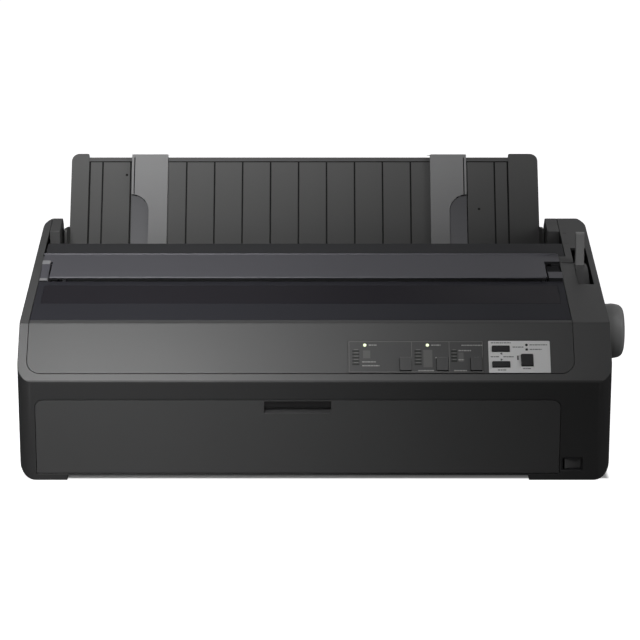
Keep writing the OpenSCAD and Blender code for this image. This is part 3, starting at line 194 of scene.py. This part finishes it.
def newMaterial(name, color, roughness=0.5, metallic=0.0, specular=0.5, grain=grainLook["scale"], bump=0.1,
                depth=0.02, dust=handlingLook["amount"], coat=0.0, glow=0.0, paintedShade=None):
    material = bpy.data.materials.new(name)
    material.use_nodes = True
    tree = material.node_tree
    shader = tree.nodes["Principled BSDF"]
    shader.inputs["Metallic"].default_value = metallic
    shader.inputs["Specular IOR Level"].default_value = specular
    shader.inputs["Coat Weight"].default_value = coat
    if glow:
        shader.inputs["Emission Color"].default_value = (*color, 1)
        shader.inputs["Emission Strength"].default_value = glow
    look = tree.nodes.new("ShaderNodeGroup")
    look.node_tree = handlingGroup
    look.inputs["Base"].default_value = (*color, 1)
    look.inputs["Dust"].default_value = (*dustOn(color), 1)
    look.inputs["Amount"].default_value = dust
    look.inputs["Roughness"].default_value = roughness
    look.inputs["Spread"].default_value = handlingLook["spread"]
    # painted shade, darker towards the bottom, for the finishes that carry it
    shade = addPaintedShade(tree, look.outputs["Color"], *paintedShade) if paintedShade else look.outputs["Color"]
    tree.links.new(shade, shader.inputs["Base Color"])
    tree.links.new(look.outputs["Roughness"], shader.inputs["Roughness"])
    height = tree.nodes.new("ShaderNodeGroup")
    height.node_tree = grainGroup
    height.inputs["Grain Scale"].default_value = grain
    relief = tree.nodes.new("ShaderNodeBump")
    relief.inputs["Strength"].default_value = bump
    relief.inputs["Distance"].default_value = depth * mm
    tree.links.new(height.outputs["Height"], relief.inputs["Height"])
    tree.links.new(relief.outputs["Normal"], shader.inputs["Normal"])
    return material


# painted shade darkens the sheet support and its guides downwards between these heights, in metres
supportShadeHeights = (0.170, 0.2535)

# colours are linear, and depth is how deep the grain is, in millimetres
finishes = {
    "caseGrain": dict(color=(0.088, 0.088, 0.0885), roughness=0.42, specular=0.5, bump=0.35, depth=0.05),
    "baseGrain": dict(color=(0.064, 0.064, 0.0645), roughness=0.46, specular=0.45, bump=0.35, depth=0.05),
    # painted shade: darker copies of the case grain for its walls and for the top of its front rim
    "shadedWallGrain": dict(color=(0.036, 0.036, 0.0365), roughness=0.46, specular=0.4, bump=0.35, depth=0.05),
    "shadedRimGrain": dict(color=(0.042, 0.042, 0.0425), roughness=0.46, specular=0.4, bump=0.35, depth=0.05),
    "panelGrain": dict(color=(0.078, 0.078, 0.0785), roughness=0.42, specular=0.5, bump=0.3, depth=0.05),
    "overlayFilm": dict(color=(0.076, 0.076, 0.077), roughness=0.38, grain=2200.0, bump=0.1),
    "labelFilm": dict(color=(0.78, 0.78, 0.78), roughness=0.45, grain=2200.0, bump=0.1),
    "lidSatin": dict(color=(0.037, 0.037, 0.045), roughness=0.50, specular=0.15, bump=0.2),
    "smokedGloss": dict(color=(0.014, 0.012, 0.018), roughness=0.32, specular=0.12, bump=0.04, dust=0.2),
    "barSatin": dict(color=(0.118, 0.117, 0.133), roughness=0.45, specular=0.4, bump=0.3),
    "deckGrain": dict(color=(0.048, 0.048, 0.052), roughness=0.6, specular=0.3, bump=0.35),
    "supportSatin": dict(
        color=(0.158, 0.158, 0.157), roughness=0.48, specular=0.35, bump=0.25, paintedShade=(*supportShadeHeights, 0.36),
    ),
    "guideSatin": dict(
        color=(0.39, 0.39, 0.395), roughness=0.42, specular=0.4, bump=0.2, paintedShade=(*supportShadeHeights, 0.44),
    ),
    "keySatin": dict(color=(0.085, 0.085, 0.086), roughness=0.42, specular=0.4, bump=0.2),
    "leverSatin": dict(color=(0.33, 0.33, 0.33), roughness=0.45, specular=0.4, bump=0.2),
    # the knob's grey is lighter than the case's partly as painted light, for the light that falls on it
    "knobSatin": dict(color=(0.31, 0.31, 0.31), roughness=0.46, specular=0.4, bump=0.3),
    "zincPlate": dict(color=(0.62, 0.63, 0.65), roughness=0.34, metallic=1.0, grain=300.0, bump=0.06),
    "groundSteel": dict(color=(0.72, 0.73, 0.75), roughness=0.2, metallic=1.0, grain=900.0, bump=0.04),
    "footRubber": dict(color=(0.02, 0.02, 0.02), roughness=0.8, specular=0.3, bump=0.4),
    "platenRubber": dict(color=(0.03, 0.03, 0.032), roughness=0.62, specular=0.3, grain=800.0, bump=0.3),
    "beltRubber": dict(color=(0.015, 0.015, 0.015), roughness=0.7, bump=0.4),
    "boardLacquer": dict(color=(0.03, 0.16, 0.07), roughness=0.35, grain=500.0, bump=0.2),
    "naturalAcetal": dict(color=(0.74, 0.74, 0.70), roughness=0.4, bump=0.1),
    "blackNylon": dict(color=(0.02, 0.02, 0.022), roughness=0.5, bump=0.3),
    "motorPaint": dict(color=(0.04, 0.04, 0.044), roughness=0.38, bump=0.2),
    "turnedBrass": dict(color=(0.72, 0.55, 0.28), roughness=0.28, metallic=1.0, grain=700.0, bump=0.05),
    "castAlloy": dict(color=(0.40, 0.40, 0.42), roughness=0.42, metallic=1.0, grain=400.0, bump=0.2),
    "supplyPaint": dict(color=(0.5, 0.5, 0.51), roughness=0.45, bump=0.2),
    "printPale": dict(color=(0.2, 0.2, 0.19), roughness=0.5, bump=0.05),
    "wordPale": dict(color=(0.36, 0.36, 0.35), roughness=0.5, bump=0.05),
    "printDark": dict(color=(0.10, 0.10, 0.10), roughness=0.5, bump=0.05),
    "rungDark": dict(color=(0.016, 0.018, 0.016), roughness=0.5, bump=0.05),
    "patchFilm": dict(color=(0.125, 0.125, 0.122), roughness=0.45, bump=0.05),
    # painted shade for the sides of the keys
    "keySideShade": dict(color=(0.012, 0.012, 0.012), roughness=0.7, specular=0.2, bump=0.1),
    "grooveShade": dict(color=(0.024, 0.024, 0.024), roughness=0.8, specular=0.1, bump=0.1),
    "guideShade": dict(color=(0.118, 0.118, 0.126), roughness=0.45, specular=0.4, bump=0.2),
    "notchShade": dict(color=(0.022, 0.022, 0.024), roughness=0.6, specular=0.2, bump=0.1),
    "tabTopHighlight": dict(color=(0.33, 0.33, 0.34), roughness=0.4, bump=0.1),
    "rockerFrontHighlight": dict(color=(0.09, 0.09, 0.091), roughness=0.35, bump=0.1),
    "smokeLens": dict(color=(0.02, 0.02, 0.02), roughness=0.2, bump=0.02, coat=0.6),
    "litLens": dict(color=(0.85, 0.95, 0.62), roughness=0.25, bump=0.02, glow=0.9),
}
materials = {name: newMaterial(name, **values) for name, values in finishes.items()}
print("materials:", len(materials))


# angles are in degrees and lengths in millimetres
shaping = {"sharp": 32, "merge": 0.002, "flat": 0.5, "segments": 2, "longSegments": 4, "longEdge": 300}


def finishPiece(bm, name, finish, node, sharp=shaping["sharp"]):
    mesh = bpy.data.meshes.new(name)
    bm.to_mesh(mesh)
    bm.free()
    mesh.materials.append(materials[finish])
    mesh.shade_smooth()
    mesh.set_sharp_from_angle(angle=math.radians(sharp))
    piece = bpy.data.objects.new(name, mesh)
    bpy.context.scene.collection.objects.link(piece)
    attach(piece, nodes[node]["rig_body"])
    return piece


def mergedCopy(node):
    bm = bmesh.new()
    bm.from_mesh(nodes[node].data)
    bmesh.ops.remove_doubles(bm, verts=bm.verts, dist=shaping["merge"] * mm)
    bmesh.ops.dissolve_limit(bm, angle_limit=math.radians(shaping["flat"]), verts=bm.verts, edges=bm.edges)
    return bm


def bevelEdges(bm, edges, radius, segments, clamped):
    bmesh.ops.bevel(
        bm, geom=edges, offset=radius * mm, offset_type="OFFSET", affect="EDGES",
        segments=segments, profile=0.5, material=-1, clamp_overlap=clamped,
    )


def isSharp(edge):
    return edge.is_manifold and edge.calc_face_angle(0) > math.radians(shaping["sharp"])


def softenEdges(bm, radius):
    bevelEdges(bm, [edge for edge in bm.edges if isSharp(edge)], radius, shaping["segments"], False)


def isLongRear(edge):
    # a long edge whose two faces look up and to the rear
    if not isSharp(edge) or edge.calc_length() < shaping["longEdge"] * mm:
        return False
    outwards = sum((face.normal for face in edge.link_faces), Vector())
    return outwards.z > 0.8 and outwards.y > 0.2


def roundLongEdges(bm, radius):
    bevelEdges(bm, [edge for edge in bm.edges if isLongRear(edge)], radius, shaping["longSegments"], True)


# node: how far its long upper rear edge is rounded, in mm
longRounds = {"tension_unit": 1.6}

# node: name of the finished piece, its finish, and how far its moulded edges are rounded, in mm
moulded = {
    "upper_case": ("upperShell", "caseGrain", 0.35),
    "lower_case": ("lowerShell", "baseGrain", 0.3),
    "front_cover": ("frontDoor", "baseGrain", 0.3),
    "control_panel": ("operatorPanel", "panelGrain", 0.2),
    "top_cover": ("hingedLid", "lidSatin", 0.3),
    "cover_window": ("smokedWindow", "smokedGloss", 0.2),
    "tension_unit": ("liftOffBar", "barSatin", 0.35),
    "rear_deck": ("rearDeckPlate", "deckGrain", 0.3),
    "support_brackets": ("supportPillars", "caseGrain", 0.4),
    "sheet_support": ("tiltingSupport", "supportSatin", 0.25),
    "left_edge_guide": ("leftSheetGuide", "guideSatin", 0.25),
    "right_edge_guide": ("rightSheetGuide", "guideSatin", 0.25),
    "release_lever": ("releaseArm", "leverSatin", 0.4),
    "platen_knob": ("platenGrip", "knobSatin", 0.4),
    "power_rocker": ("rockerCap", "blackNylon", 0.3),
    "font_key": ("fontCap", "keySatin", 0.3),
    "pitch_key": ("pitchCap", "keySatin", 0.3),
    "tear_off_key": ("tearOffCap", "keySatin", 0.3),
    "load_key": ("loadCap", "blackNylon", 0.3),
    "feed_key": ("feedCap", "blackNylon", 0.3),
    "pause_key": ("pauseCap", "blackNylon", 0.3),
    "rubber_feet": ("cushionFeet", "footRubber", 0.3),
    "ribbon_cartridge": ("ribbonCase", "blackNylon", 0.4),
    "print_head": ("finnedHead", "castAlloy", 0.2),
    "carriage": ("headCarriage", "blackNylon", 0.3),
    "left_tractor": ("leftTractorBody", "blackNylon", 0.3),
    "right_tractor": ("rightTractorBody", "blackNylon", 0.3),
    "ac_inlet": ("inletHousing", "blackNylon", 0.3),
}
shells = {}
for node, (name, finish, radius) in moulded.items():
    bm = mergedCopy(node)
    if node in longRounds:
        roundLongEdges(bm, longRounds[node])
    softenEdges(bm, radius)
    piece = finishPiece(bm, name, finish, node)
    weighted = piece.modifiers.new("evenShading", "WEIGHTED_NORMAL")
    weighted.keep_sharp = True
    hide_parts(node)
    shells[node] = piece
print("moulded pieces:", len(shells))

# nodes that stay as the CAD made them, with their finishes
kept = {
    "case_screws": "zincPlate", "panel_overlay": "overlayFilm", "panel_label": "labelFilm",
    "panel_board": "boardLacquer", "base_frame": "zincPlate", "left_side_plate": "zincPlate",
    "right_side_plate": "zincPlate", "main_board": "boardLacquer", "power_supply": "supplyPaint",
    "interface_ports": "blackNylon", "power_switch": "blackNylon", "carriage_rod": "groundSteel",
    "guide_rail": "zincPlate", "platen_bushes": "naturalAcetal", "paper_guide": "blackNylon",
    "feed_motor": "motorPaint", "carriage_motor": "motorPaint", "drive_belt": "beltRubber",
    "tractor_rod": "groundSteel", "thickness_lever": "naturalAcetal", "platen_roller": "platenRubber",
    "platen_shaft": "groundSteel", "platen_gear": "naturalAcetal", "pressure_rollers": "platenRubber",
    "idler_gear": "naturalAcetal", "feed_pinion": "turnedBrass", "tractor_shaft": "groundSteel",
    "left_sprocket": "naturalAcetal", "right_sprocket": "naturalAcetal", "drive_pulley": "turnedBrass",
    "idler_pulley": "turnedBrass", "ribbon_knob": "naturalAcetal",
}
for node, finish in kept.items():
    slots = nodes[node].data.materials
    for i in range(len(slots)):
        slots[i] = materials[finish]
    if not slots:
        slots.append(materials[finish])
print("kept nodes:", len(kept))


def paintFaces(piece, finish, chosen):
    # gives a second finish to the faces that chosen picks by their middle and normal
    mesh = piece.data
    mesh.materials.append(materials[finish])
    for face in mesh.polygons:
        if chosen(face.center, face.normal):
            face.material_index = len(mesh.materials) - 1


# parts of the outward direction that a face must have, from 0 for none to 1 for all of it
facing = {
    "keyTop": 0.6, "step": 0.8, "wall": 0.45, "rim": 0.2, "tab": 0.3, "bar": 0.7, "rocker": 0.5, "groove": -0.3,
}

# the sides of the keys are painted dark, as painted shade for the gaps round them and the shadow below
for node in ("font_key", "pitch_key", "tear_off_key", "load_key", "feed_key", "pause_key"):
    paintFaces(shells[node], "keySideShade", lambda at, normal: normal.dot(outOf(onPanel)) < facing["keyTop"])

# heights out of the face of the sheet support at which its grooves and the steps of its guides lie
supportPaint = {"margin": 8, "groove": (-1.6, -0.12), "step": (1.0, 2.4), "line": (3.6, 5.1)}
supportLow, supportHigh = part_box("sheet_support")
toSupport = onSupport.inverted()


def heightIn(at, layer):
    low, high = supportPaint[layer]
    return low < (toSupport @ at).z < high


def inGroove(at, normal):
    margin = supportPaint["margin"] * mm
    inside = supportLow.x + margin < at.x < supportHigh.x - margin
    return inside and heightIn(at, "groove") and normal.dot(outOf(onSupport)) > facing["groove"]


def onGuideStep(at, normal):
    return heightIn(at, "step") and normal.dot(outOf(onSupport)) > facing["step"]


# the grooves of the sheet support, and the lower step and the dark line on each guide, get painted shade
paintFaces(shells["sheet_support"], "grooveShade", inGroove)
for node in ("left_edge_guide", "right_edge_guide"):
    paintFaces(shells[node], "guideShade", onGuideStep)
    paintFaces(shells[node], "grooveShade", lambda at, normal: heightIn(at, "line"))


# the walls of the case and the top of the front rim are painted darker than its top, as painted shade
rimDepth = 6


def onRim(at, normal):
    return normal.z > facing["rim"] and at.y - front < rimDepth * mm


paintFaces(shells["upper_case"], "shadedWallGrain", lambda at, normal: normal.z < facing["wall"])
for node in ("upper_case", "lower_case", "front_cover", "control_panel"):
    paintFaces(shells[node], "shadedRimGrain", onRim)

# the round shield at the foot of the lever has the colour of the case
shield = {"y": 195, "height": 105, "radius": 74.4}
shieldCentre = fromFront(0, shield["y"], shield["height"])


def onShield(at, normal):
    return math.hypot(at.y - shieldCentre.y, at.z - shieldCentre.z) < shield["radius"] * mm


paintFaces(shells["release_lever"], "caseGrain", onShield)

# the upward faces of the raised end and the front lip of the bar's left tab get a painted highlight
tab = {"left": -296, "right": -285, "raised": (183, 193.7), "lip": 154.5}
# the sunk step behind the block at its right end gets painted shade
notch = {"left": 248.5, "run": (168.6, 194)}


def onTab(at, normal):
    x, y = (at.x - middle) / mm, (at.y - front) / mm
    raised = tab["raised"][0] < y < tab["raised"][1]
    return tab["left"] < x < tab["right"] and normal.z > facing["tab"] and (raised or y < tab["lip"])


def inNotch(at, normal):
    x, y = (at.x - middle) / mm, (at.y - front) / mm
    return x > notch["left"] and notch["run"][0] < y < notch["run"][1]


paintFaces(shells["tension_unit"], "tabTopHighlight", onTab)
paintFaces(shells["tension_unit"], "notchShade", inNotch)
# the bar's front faces get painted shade too
paintFaces(shells["tension_unit"], "notchShade", lambda at, normal: normal.y < -facing["bar"])
# the front faces of the black rocker get a lighter grey, as a painted highlight
paintFaces(shells["power_rocker"], "rockerFrontHighlight", lambda at, normal: normal.y < -facing["rocker"])
print("second finishes done")


def addBar(bm, place, across, along, top, base=0.0):
    # a thin raised bar, in millimetres across, along and out of the face it lies on
    centre = Matrix.Translation((sum(across) / 2, sum(along) / 2, (top + base) / 2))
    sides = Matrix.Diagonal((across[1] - across[0], along[1] - along[0], top - base, 1))
    bmesh.ops.create_cube(bm, size=1, matrix=place @ centre @ sides)


# lengths of the short bars that stand for print, in millimetres
dashes = {"lengths": (2.6, 1.7, 3.3, 2.1, 1.4, 2.9), "gap": 0.45, "least": 0.6}


def addWord(bm, place, x0, x1, along, tall, top):
    x, i = x0, 0
    while x < x1 - dashes["least"]:
        end = min(x1, x + dashes["lengths"][i % len(dashes["lengths"])])
        addBar(bm, place, (x, end), (along - tall / 2, along + tall / 2), top)
        x, i = end + dashes["gap"], i + 1


def addDome(bm, place, at, radius, height, base):
    centre = Matrix.Translation((*at, base))
    sides = Matrix.Diagonal((radius, radius, height, 1))
    bmesh.ops.create_uvsphere(bm, u_segments=20, v_segments=12, radius=1, matrix=place @ centre @ sides)


def addArrow(bm, place, at, radius, turn, top):
    centre = Matrix.Translation((*at, top / 2))
    turned = Matrix.Rotation(math.radians(turn), 4, "Z")
    bmesh.ops.create_cone(
        bm, cap_ends=True, segments=3, radius1=radius, radius2=radius, depth=top, matrix=place @ centre @ turned,
    )


# millimetres across the printer from its middle, and up the slope; tops are heights out of the slope
overlayPrint = {
    "top": 0.38, "frameTop": 0.37, "wordTop": 0.44, "patchTop": 0.35, "letter": 1.2, "line": 0.45,
    "frame": (35.2, 172.2, 11.0, 45.4),
    "dividers": (99.5, 138.0),
    "words": [
        (55.5, 63.6, 41.4), (119.6, 129.2, 41.4), (150.6, 172.0, 41.2), (147.5, 160.7, 35.2),
        (147.2, 153.0, 24.8), (48.7, 62.7, 22.4), (48.7, 66.3, 18.1), (87.7, 98.8, 27.1),
        (123.7, 134.8, 27.1), (163.4, 168.6, 27.1), (105.8, 122.0, 12.6), (142.6, 156.4, 12.6),
    ],
    "ladders": [(38.5, 45.8, 18.8, 5), (102.3, 109.6, 18.8, 5), (139.8, 146.0, 22.4, 4)],
    "ladderPitch": 3.7,
    "rung": 1.9,
    "dash": {"left": 1.6, "right": 1.2, "above": (0.6, 1.2)},
    "patches": [(49.6, 57.0, 26.5, 35.4), (111.4, 120.6, 16.4, 36.0), (147.4, 152.6, 22.6, 33.0)],
}


def buildOverlayPrint():
    pale, words, dark, patches = (bmesh.new() for _ in range(4))
    top, half = overlayPrint["top"], overlayPrint["line"] / 2
    x0, x1, s0, s1 = overlayPrint["frame"]
    for x in (x0, x1, *overlayPrint["dividers"]):
        addBar(pale, onPanel, (x - half, x + half), (s0, s1), top)
    for s in (s0, s1):
        addBar(pale, onPanel, (x0, x1), (s - half, s + half), overlayPrint["frameTop"])
    for word in overlayPrint["words"]:
        addWord(words, onPanel, *word, overlayPrint["letter"], overlayPrint["wordTop"])
    dash = overlayPrint["dash"]
    for left, right, low, rungs in overlayPrint["ladders"]:
        for i in range(rungs):
            s = low + i * overlayPrint["ladderPitch"]
            end = s + overlayPrint["rung"]
            addBar(dark, onPanel, (left, right), (s, end), top)
            above = (end + dash["above"][0], end + dash["above"][1])
            addBar(pale, onPanel, (left + dash["left"], right - dash["right"]), above, top)
    for left, right, low, high in overlayPrint["patches"]:
        addBar(patches, onPanel, (left, right), (low, high), overlayPrint["patchTop"])
    finishPiece(pale, "overlayPalePrint", "printPale", "panel_overlay")
    finishPiece(words, "overlayWords", "wordPale", "panel_overlay")
    finishPiece(dark, "overlayDarkPrint", "rungDark", "panel_overlay")
    finishPiece(patches, "overlayPatches", "patchFilm", "panel_overlay")


buildOverlayPrint()

labelMarks = {
    "top": 0.36, "letter": 0.9,
    "words": [
        (180.9, 201.5, 44.0), (180.4, 189.6, 28.2), (193.4, 203.9, 28.2), (187.3, 196.8, 13.3),
        (203.2, 214.6, 39.2), (220.6, 238.7, 41.7), (220.6, 232.9, 36.6), (213.0, 221.0, 14.8),
    ],
    "arrows": [(191.5, 31.8, 90), (191.3, 24.9, -90)],
    "arrowRadius": 1.6,
    "stroke": (207.4, 209.0, 24.6, 29.4),
}


def buildLabelPrint():
    label = bmesh.new()
    top = labelMarks["top"]
    for word in labelMarks["words"]:
        addWord(label, onPanel, *word, labelMarks["letter"], top)
    for x, s, turn in labelMarks["arrows"]:
        addArrow(label, onPanel, (x, s), labelMarks["arrowRadius"], turn, top)
    left, right, low, high = labelMarks["stroke"]
    addBar(label, onPanel, (left, right), (low, high), top)
    finishPiece(label, "labelPrint", "printDark", "panel_label")


buildLabelPrint()

lensKinds = {
    "lit": {"finish": "litLens", "radius": 1.75, "places": [(51.4, 41.4), (115.7, 41.4)]},
    "dark": {"finish": "smokeLens", "radius": 1.2, "places": [(217.5, 41.7), (217.5, 36.5)]},
}
lensRise = {"base": 0.2, "height": 0.75}

for kind, lens in lensKinds.items():
    lenses = bmesh.new()
    for at in lens["places"]:
        addDome(lenses, onPanel, at, lens["radius"], lensRise["height"], lensRise["base"])
    finishPiece(lenses, kind + "Lenses", lens["finish"], "panel_board", sharp=60)
print("panel print done")

# two short marks pressed beside the release lever, as (from, to, run up the roof)
leverMarks = {"places": [(276.8, 281.0, 239.4), (276.0, 281.0, 210.4)], "half": 1.0, "top": 0.12}
# two small round marks on the sheet support
supportDots = {"places": [(-216.1, 93.2), (188.4, 51.4)], "radius": 1.5, "height": 0.15}


def buildMarks():
    marks = bmesh.new()
    half = leverMarks["half"]
    for x0, x1, run in leverMarks["places"]:
        addBar(marks, onRoof, (x0, x1), (run - half, run + half), leverMarks["top"])
    finishPiece(marks, "leverMarks", "printDark", "upper_case")
    dots = bmesh.new()
    for at in supportDots["places"]:
        addDome(dots, onSupport, at, supportDots["radius"], supportDots["height"], 0.0)
    finishPiece(dots, "supportMarks", "grooveShade", "sheet_support")


buildMarks()

# the bar has a low ridge along its rear edge and a smaller one at the front, which catch a line of light
ridges = [
    {"reach": (-295, 264), "y": 213.4, "height": 186.0, "angle": roof["angle"], "side": 1.8},
    {"reach": (-284.5, 247.5), "y": 151.2, "height": 176.5, "angle": roof["angle"], "side": 1.4},
]


def buildRidges():
    bm = bmesh.new()
    onEdge = Matrix.Rotation(math.radians(45), 4, "X")
    for ridge in ridges:
        left, right = ridge["reach"]
        centre = Matrix.Translation(((left + right) / 2, 0, 0))
        sides = Matrix.Diagonal((right - left, ridge["side"], ridge["side"], 1))
        bmesh.ops.create_cube(bm, size=1, matrix=tilted(ridge) @ centre @ onEdge @ sides)
    finishPiece(bm, "barRidges", "barSatin", "tension_unit", sharp=60)


buildRidges()
print("marks and ridges done")

# near the object the paper keeps its shadow, and past "far" from the footprint, in metres, it glows plain white
stage = {
    "size": 40, "floor": 0.9, "bounce": 0.22, "roughness": 0.9, "specular": 0.1,
    "footprint": (0.286, 0.19), "near": 0.0, "far": 0.006, "nearGlow": 0.1, "farGlow": 1.0,
}


def buildFloor():
    bm = bmesh.new()
    bmesh.ops.create_grid(bm, x_segments=1, y_segments=1, size=stage["size"] / 2)
    mesh = bpy.data.meshes.new("studioFloor")
    bm.to_mesh(mesh)
    bm.free()
    floor = bpy.data.objects.new("studioFloor", mesh)
    bpy.context.scene.collection.objects.link(floor)
    material = bpy.data.materials.new("studioPaper")
    material.use_nodes = True
    tree = material.node_tree
    shader = tree.nodes["Principled BSDF"]
    shader.inputs["Roughness"].default_value = stage["roughness"]
    shader.inputs["Specular IOR Level"].default_value = stage["specular"]
    coords = tree.nodes.new("ShaderNodeTexCoord")
    split = tree.nodes.new("ShaderNodeSeparateXYZ")
    tree.links.new(coords.outputs["Object"], split.inputs["Vector"])
    apart = []
    for axis, half in zip("XY", stage["footprint"]):
        apart.append(addMath(tree, "SUBTRACT", addMath(tree, "ABSOLUTE", split.outputs[axis], 0), half))
    spread = tree.nodes.new("ShaderNodeMapRange")
    spread.interpolation_type = "SMOOTHSTEP"
    spread.inputs["From Min"].default_value = stage["near"]
    spread.inputs["From Max"].default_value = stage["far"]
    spread.inputs["To Min"].default_value = stage["nearGlow"]
    spread.inputs["To Max"].default_value = stage["farGlow"]
    tree.links.new(addMath(tree, "MAXIMUM", *apart), spread.inputs["Value"])
    path = tree.nodes.new("ShaderNodeLightPath")
    seen = path.outputs["Is Camera Ray"]
    paper = tree.nodes.new("ShaderNodeMix")
    paper.data_type = "RGBA"
    paper.inputs["A"].default_value = (*[stage["bounce"]] * 3, 1)
    paper.inputs["B"].default_value = (*[stage["floor"]] * 3, 1)
    tree.links.new(seen, paper.inputs["Factor"])
    tree.links.new(paper.outputs["Result"], shader.inputs["Base Color"])
    shader.inputs["Emission Color"].default_value = (1, 1, 1, 1)
    tree.links.new(addMath(tree, "MULTIPLY", spread.outputs["Result"], seen), shader.inputs["Emission Strength"])
    mesh.materials.append(material)


buildFloor()

# how strongly the world shines on the object, and how white it looks behind it
surround = {"ambient": 0.02, "backdrop": 1.0}
world = bpy.data.worlds.new("studioWorld")
world.use_nodes = True
bpy.context.scene.world = world
worldTree = world.node_tree
background = worldTree.nodes["Background"]
path = worldTree.nodes.new("ShaderNodeLightPath")
seen = addMath(worldTree, "MAXIMUM", path.outputs["Is Camera Ray"], path.outputs["Is Transmission Ray"])
strength = worldTree.nodes.new("ShaderNodeMix")
strength.inputs["A"].default_value = surround["ambient"]
strength.inputs["B"].default_value = surround["backdrop"]
worldTree.links.new(seen, strength.inputs["Factor"])
worldTree.links.new(strength.outputs["Result"], background.inputs["Strength"])
background.inputs["Color"].default_value = (1, 1, 1, 1)

# two spots on the left half, whose light fades towards the right, and weak boxes round them; metres and watts
lamps = {
    "keySpot": dict(kind="SPOT", at=(-0.32, -0.75, 0.85), aim=(-0.34, -0.15, 0.1), size=0.2, cone=80, power=26),
    "frontBox": dict(kind="AREA", at=(0, -2.2, 0.9), aim=(0, 0, 0.1), size=1.2, power=1.7),
    "frontSpot": dict(kind="SPOT", at=(-0.12, -1.3, 0.5), aim=(-0.27, -0.2, 0.09), size=0.2, cone=34, power=12),
    "rightBox": dict(kind="AREA", at=(1.6, -0.6, 1.0), aim=(0.2, 0, 0.1), size=0.8, power=7.3),
    "topBox": dict(kind="AREA", at=(-0.2, -0.7, 2.0), aim=(0, 0, 0.1), size=1.2, power=1.0),
    "backLeft": dict(kind="AREA", at=(-0.45, 2.2, 1.6), aim=(-0.2, 0.2, 0.15), size=1.0, power=1.1),
    "backRight": dict(kind="AREA", at=(0.6, 2.2, 1.6), aim=(0.2, 0.2, 0.15), size=0.8, power=0.9),
    "rearBox": dict(kind="AREA", at=(0.5, 2.4, 0.3), aim=(0, 0, 0.12), size=1.2, power=4),
    "knobSpot": dict(kind="SPOT", at=(0.80, -0.25, 0.95), aim=(0.285, 0, 0.17), size=0.1, cone=24, power=2.5),
}
for name, lamp in lamps.items():
    light = bpy.data.lights.new(name, lamp["kind"])
    light.energy = lamp["power"]
    if lamp["kind"] == "SPOT":
        light.shadow_soft_size = lamp["size"]
        light.spot_size = math.radians(lamp["cone"])
        light.spot_blend = 1
    else:
        light.size = lamp["size"]
    box = bpy.data.objects.new(name, light)
    box.location = lamp["at"]
    box.rotation_euler = (Vector(lamp["aim"]) - Vector(lamp["at"])).to_track_quat("-Z", "Y").to_euler()
    bpy.context.scene.collection.objects.link(box)

# fitted to the photograph: 2544 pixels of focal length on a 640 pixel picture, looking 16 degrees down
view = {
    "focal": 2544, "height": 882.8, "distance": 2476.4, "down": 16, "centre": 314.65, "picture": 640, "sensor": 36,
}
lens = bpy.data.cameras.new("photoLens")
lens.sensor_width = view["sensor"]
lens.lens = view["focal"] / view["picture"] * lens.sensor_width
lens.shift_x = (view["picture"] / 2 - view["centre"]) / view["picture"]
camera = bpy.data.objects.new("photoCamera", lens)
camera.location = fromFront(0, -view["distance"], view["height"])
camera.rotation_euler = (math.radians(90 - view["down"]), 0, 0)
bpy.context.scene.collection.objects.link(camera)
bpy.context.scene.camera = camera
bpy.context.scene.view_settings.view_transform = "Standard"
print("stage and camera ready")
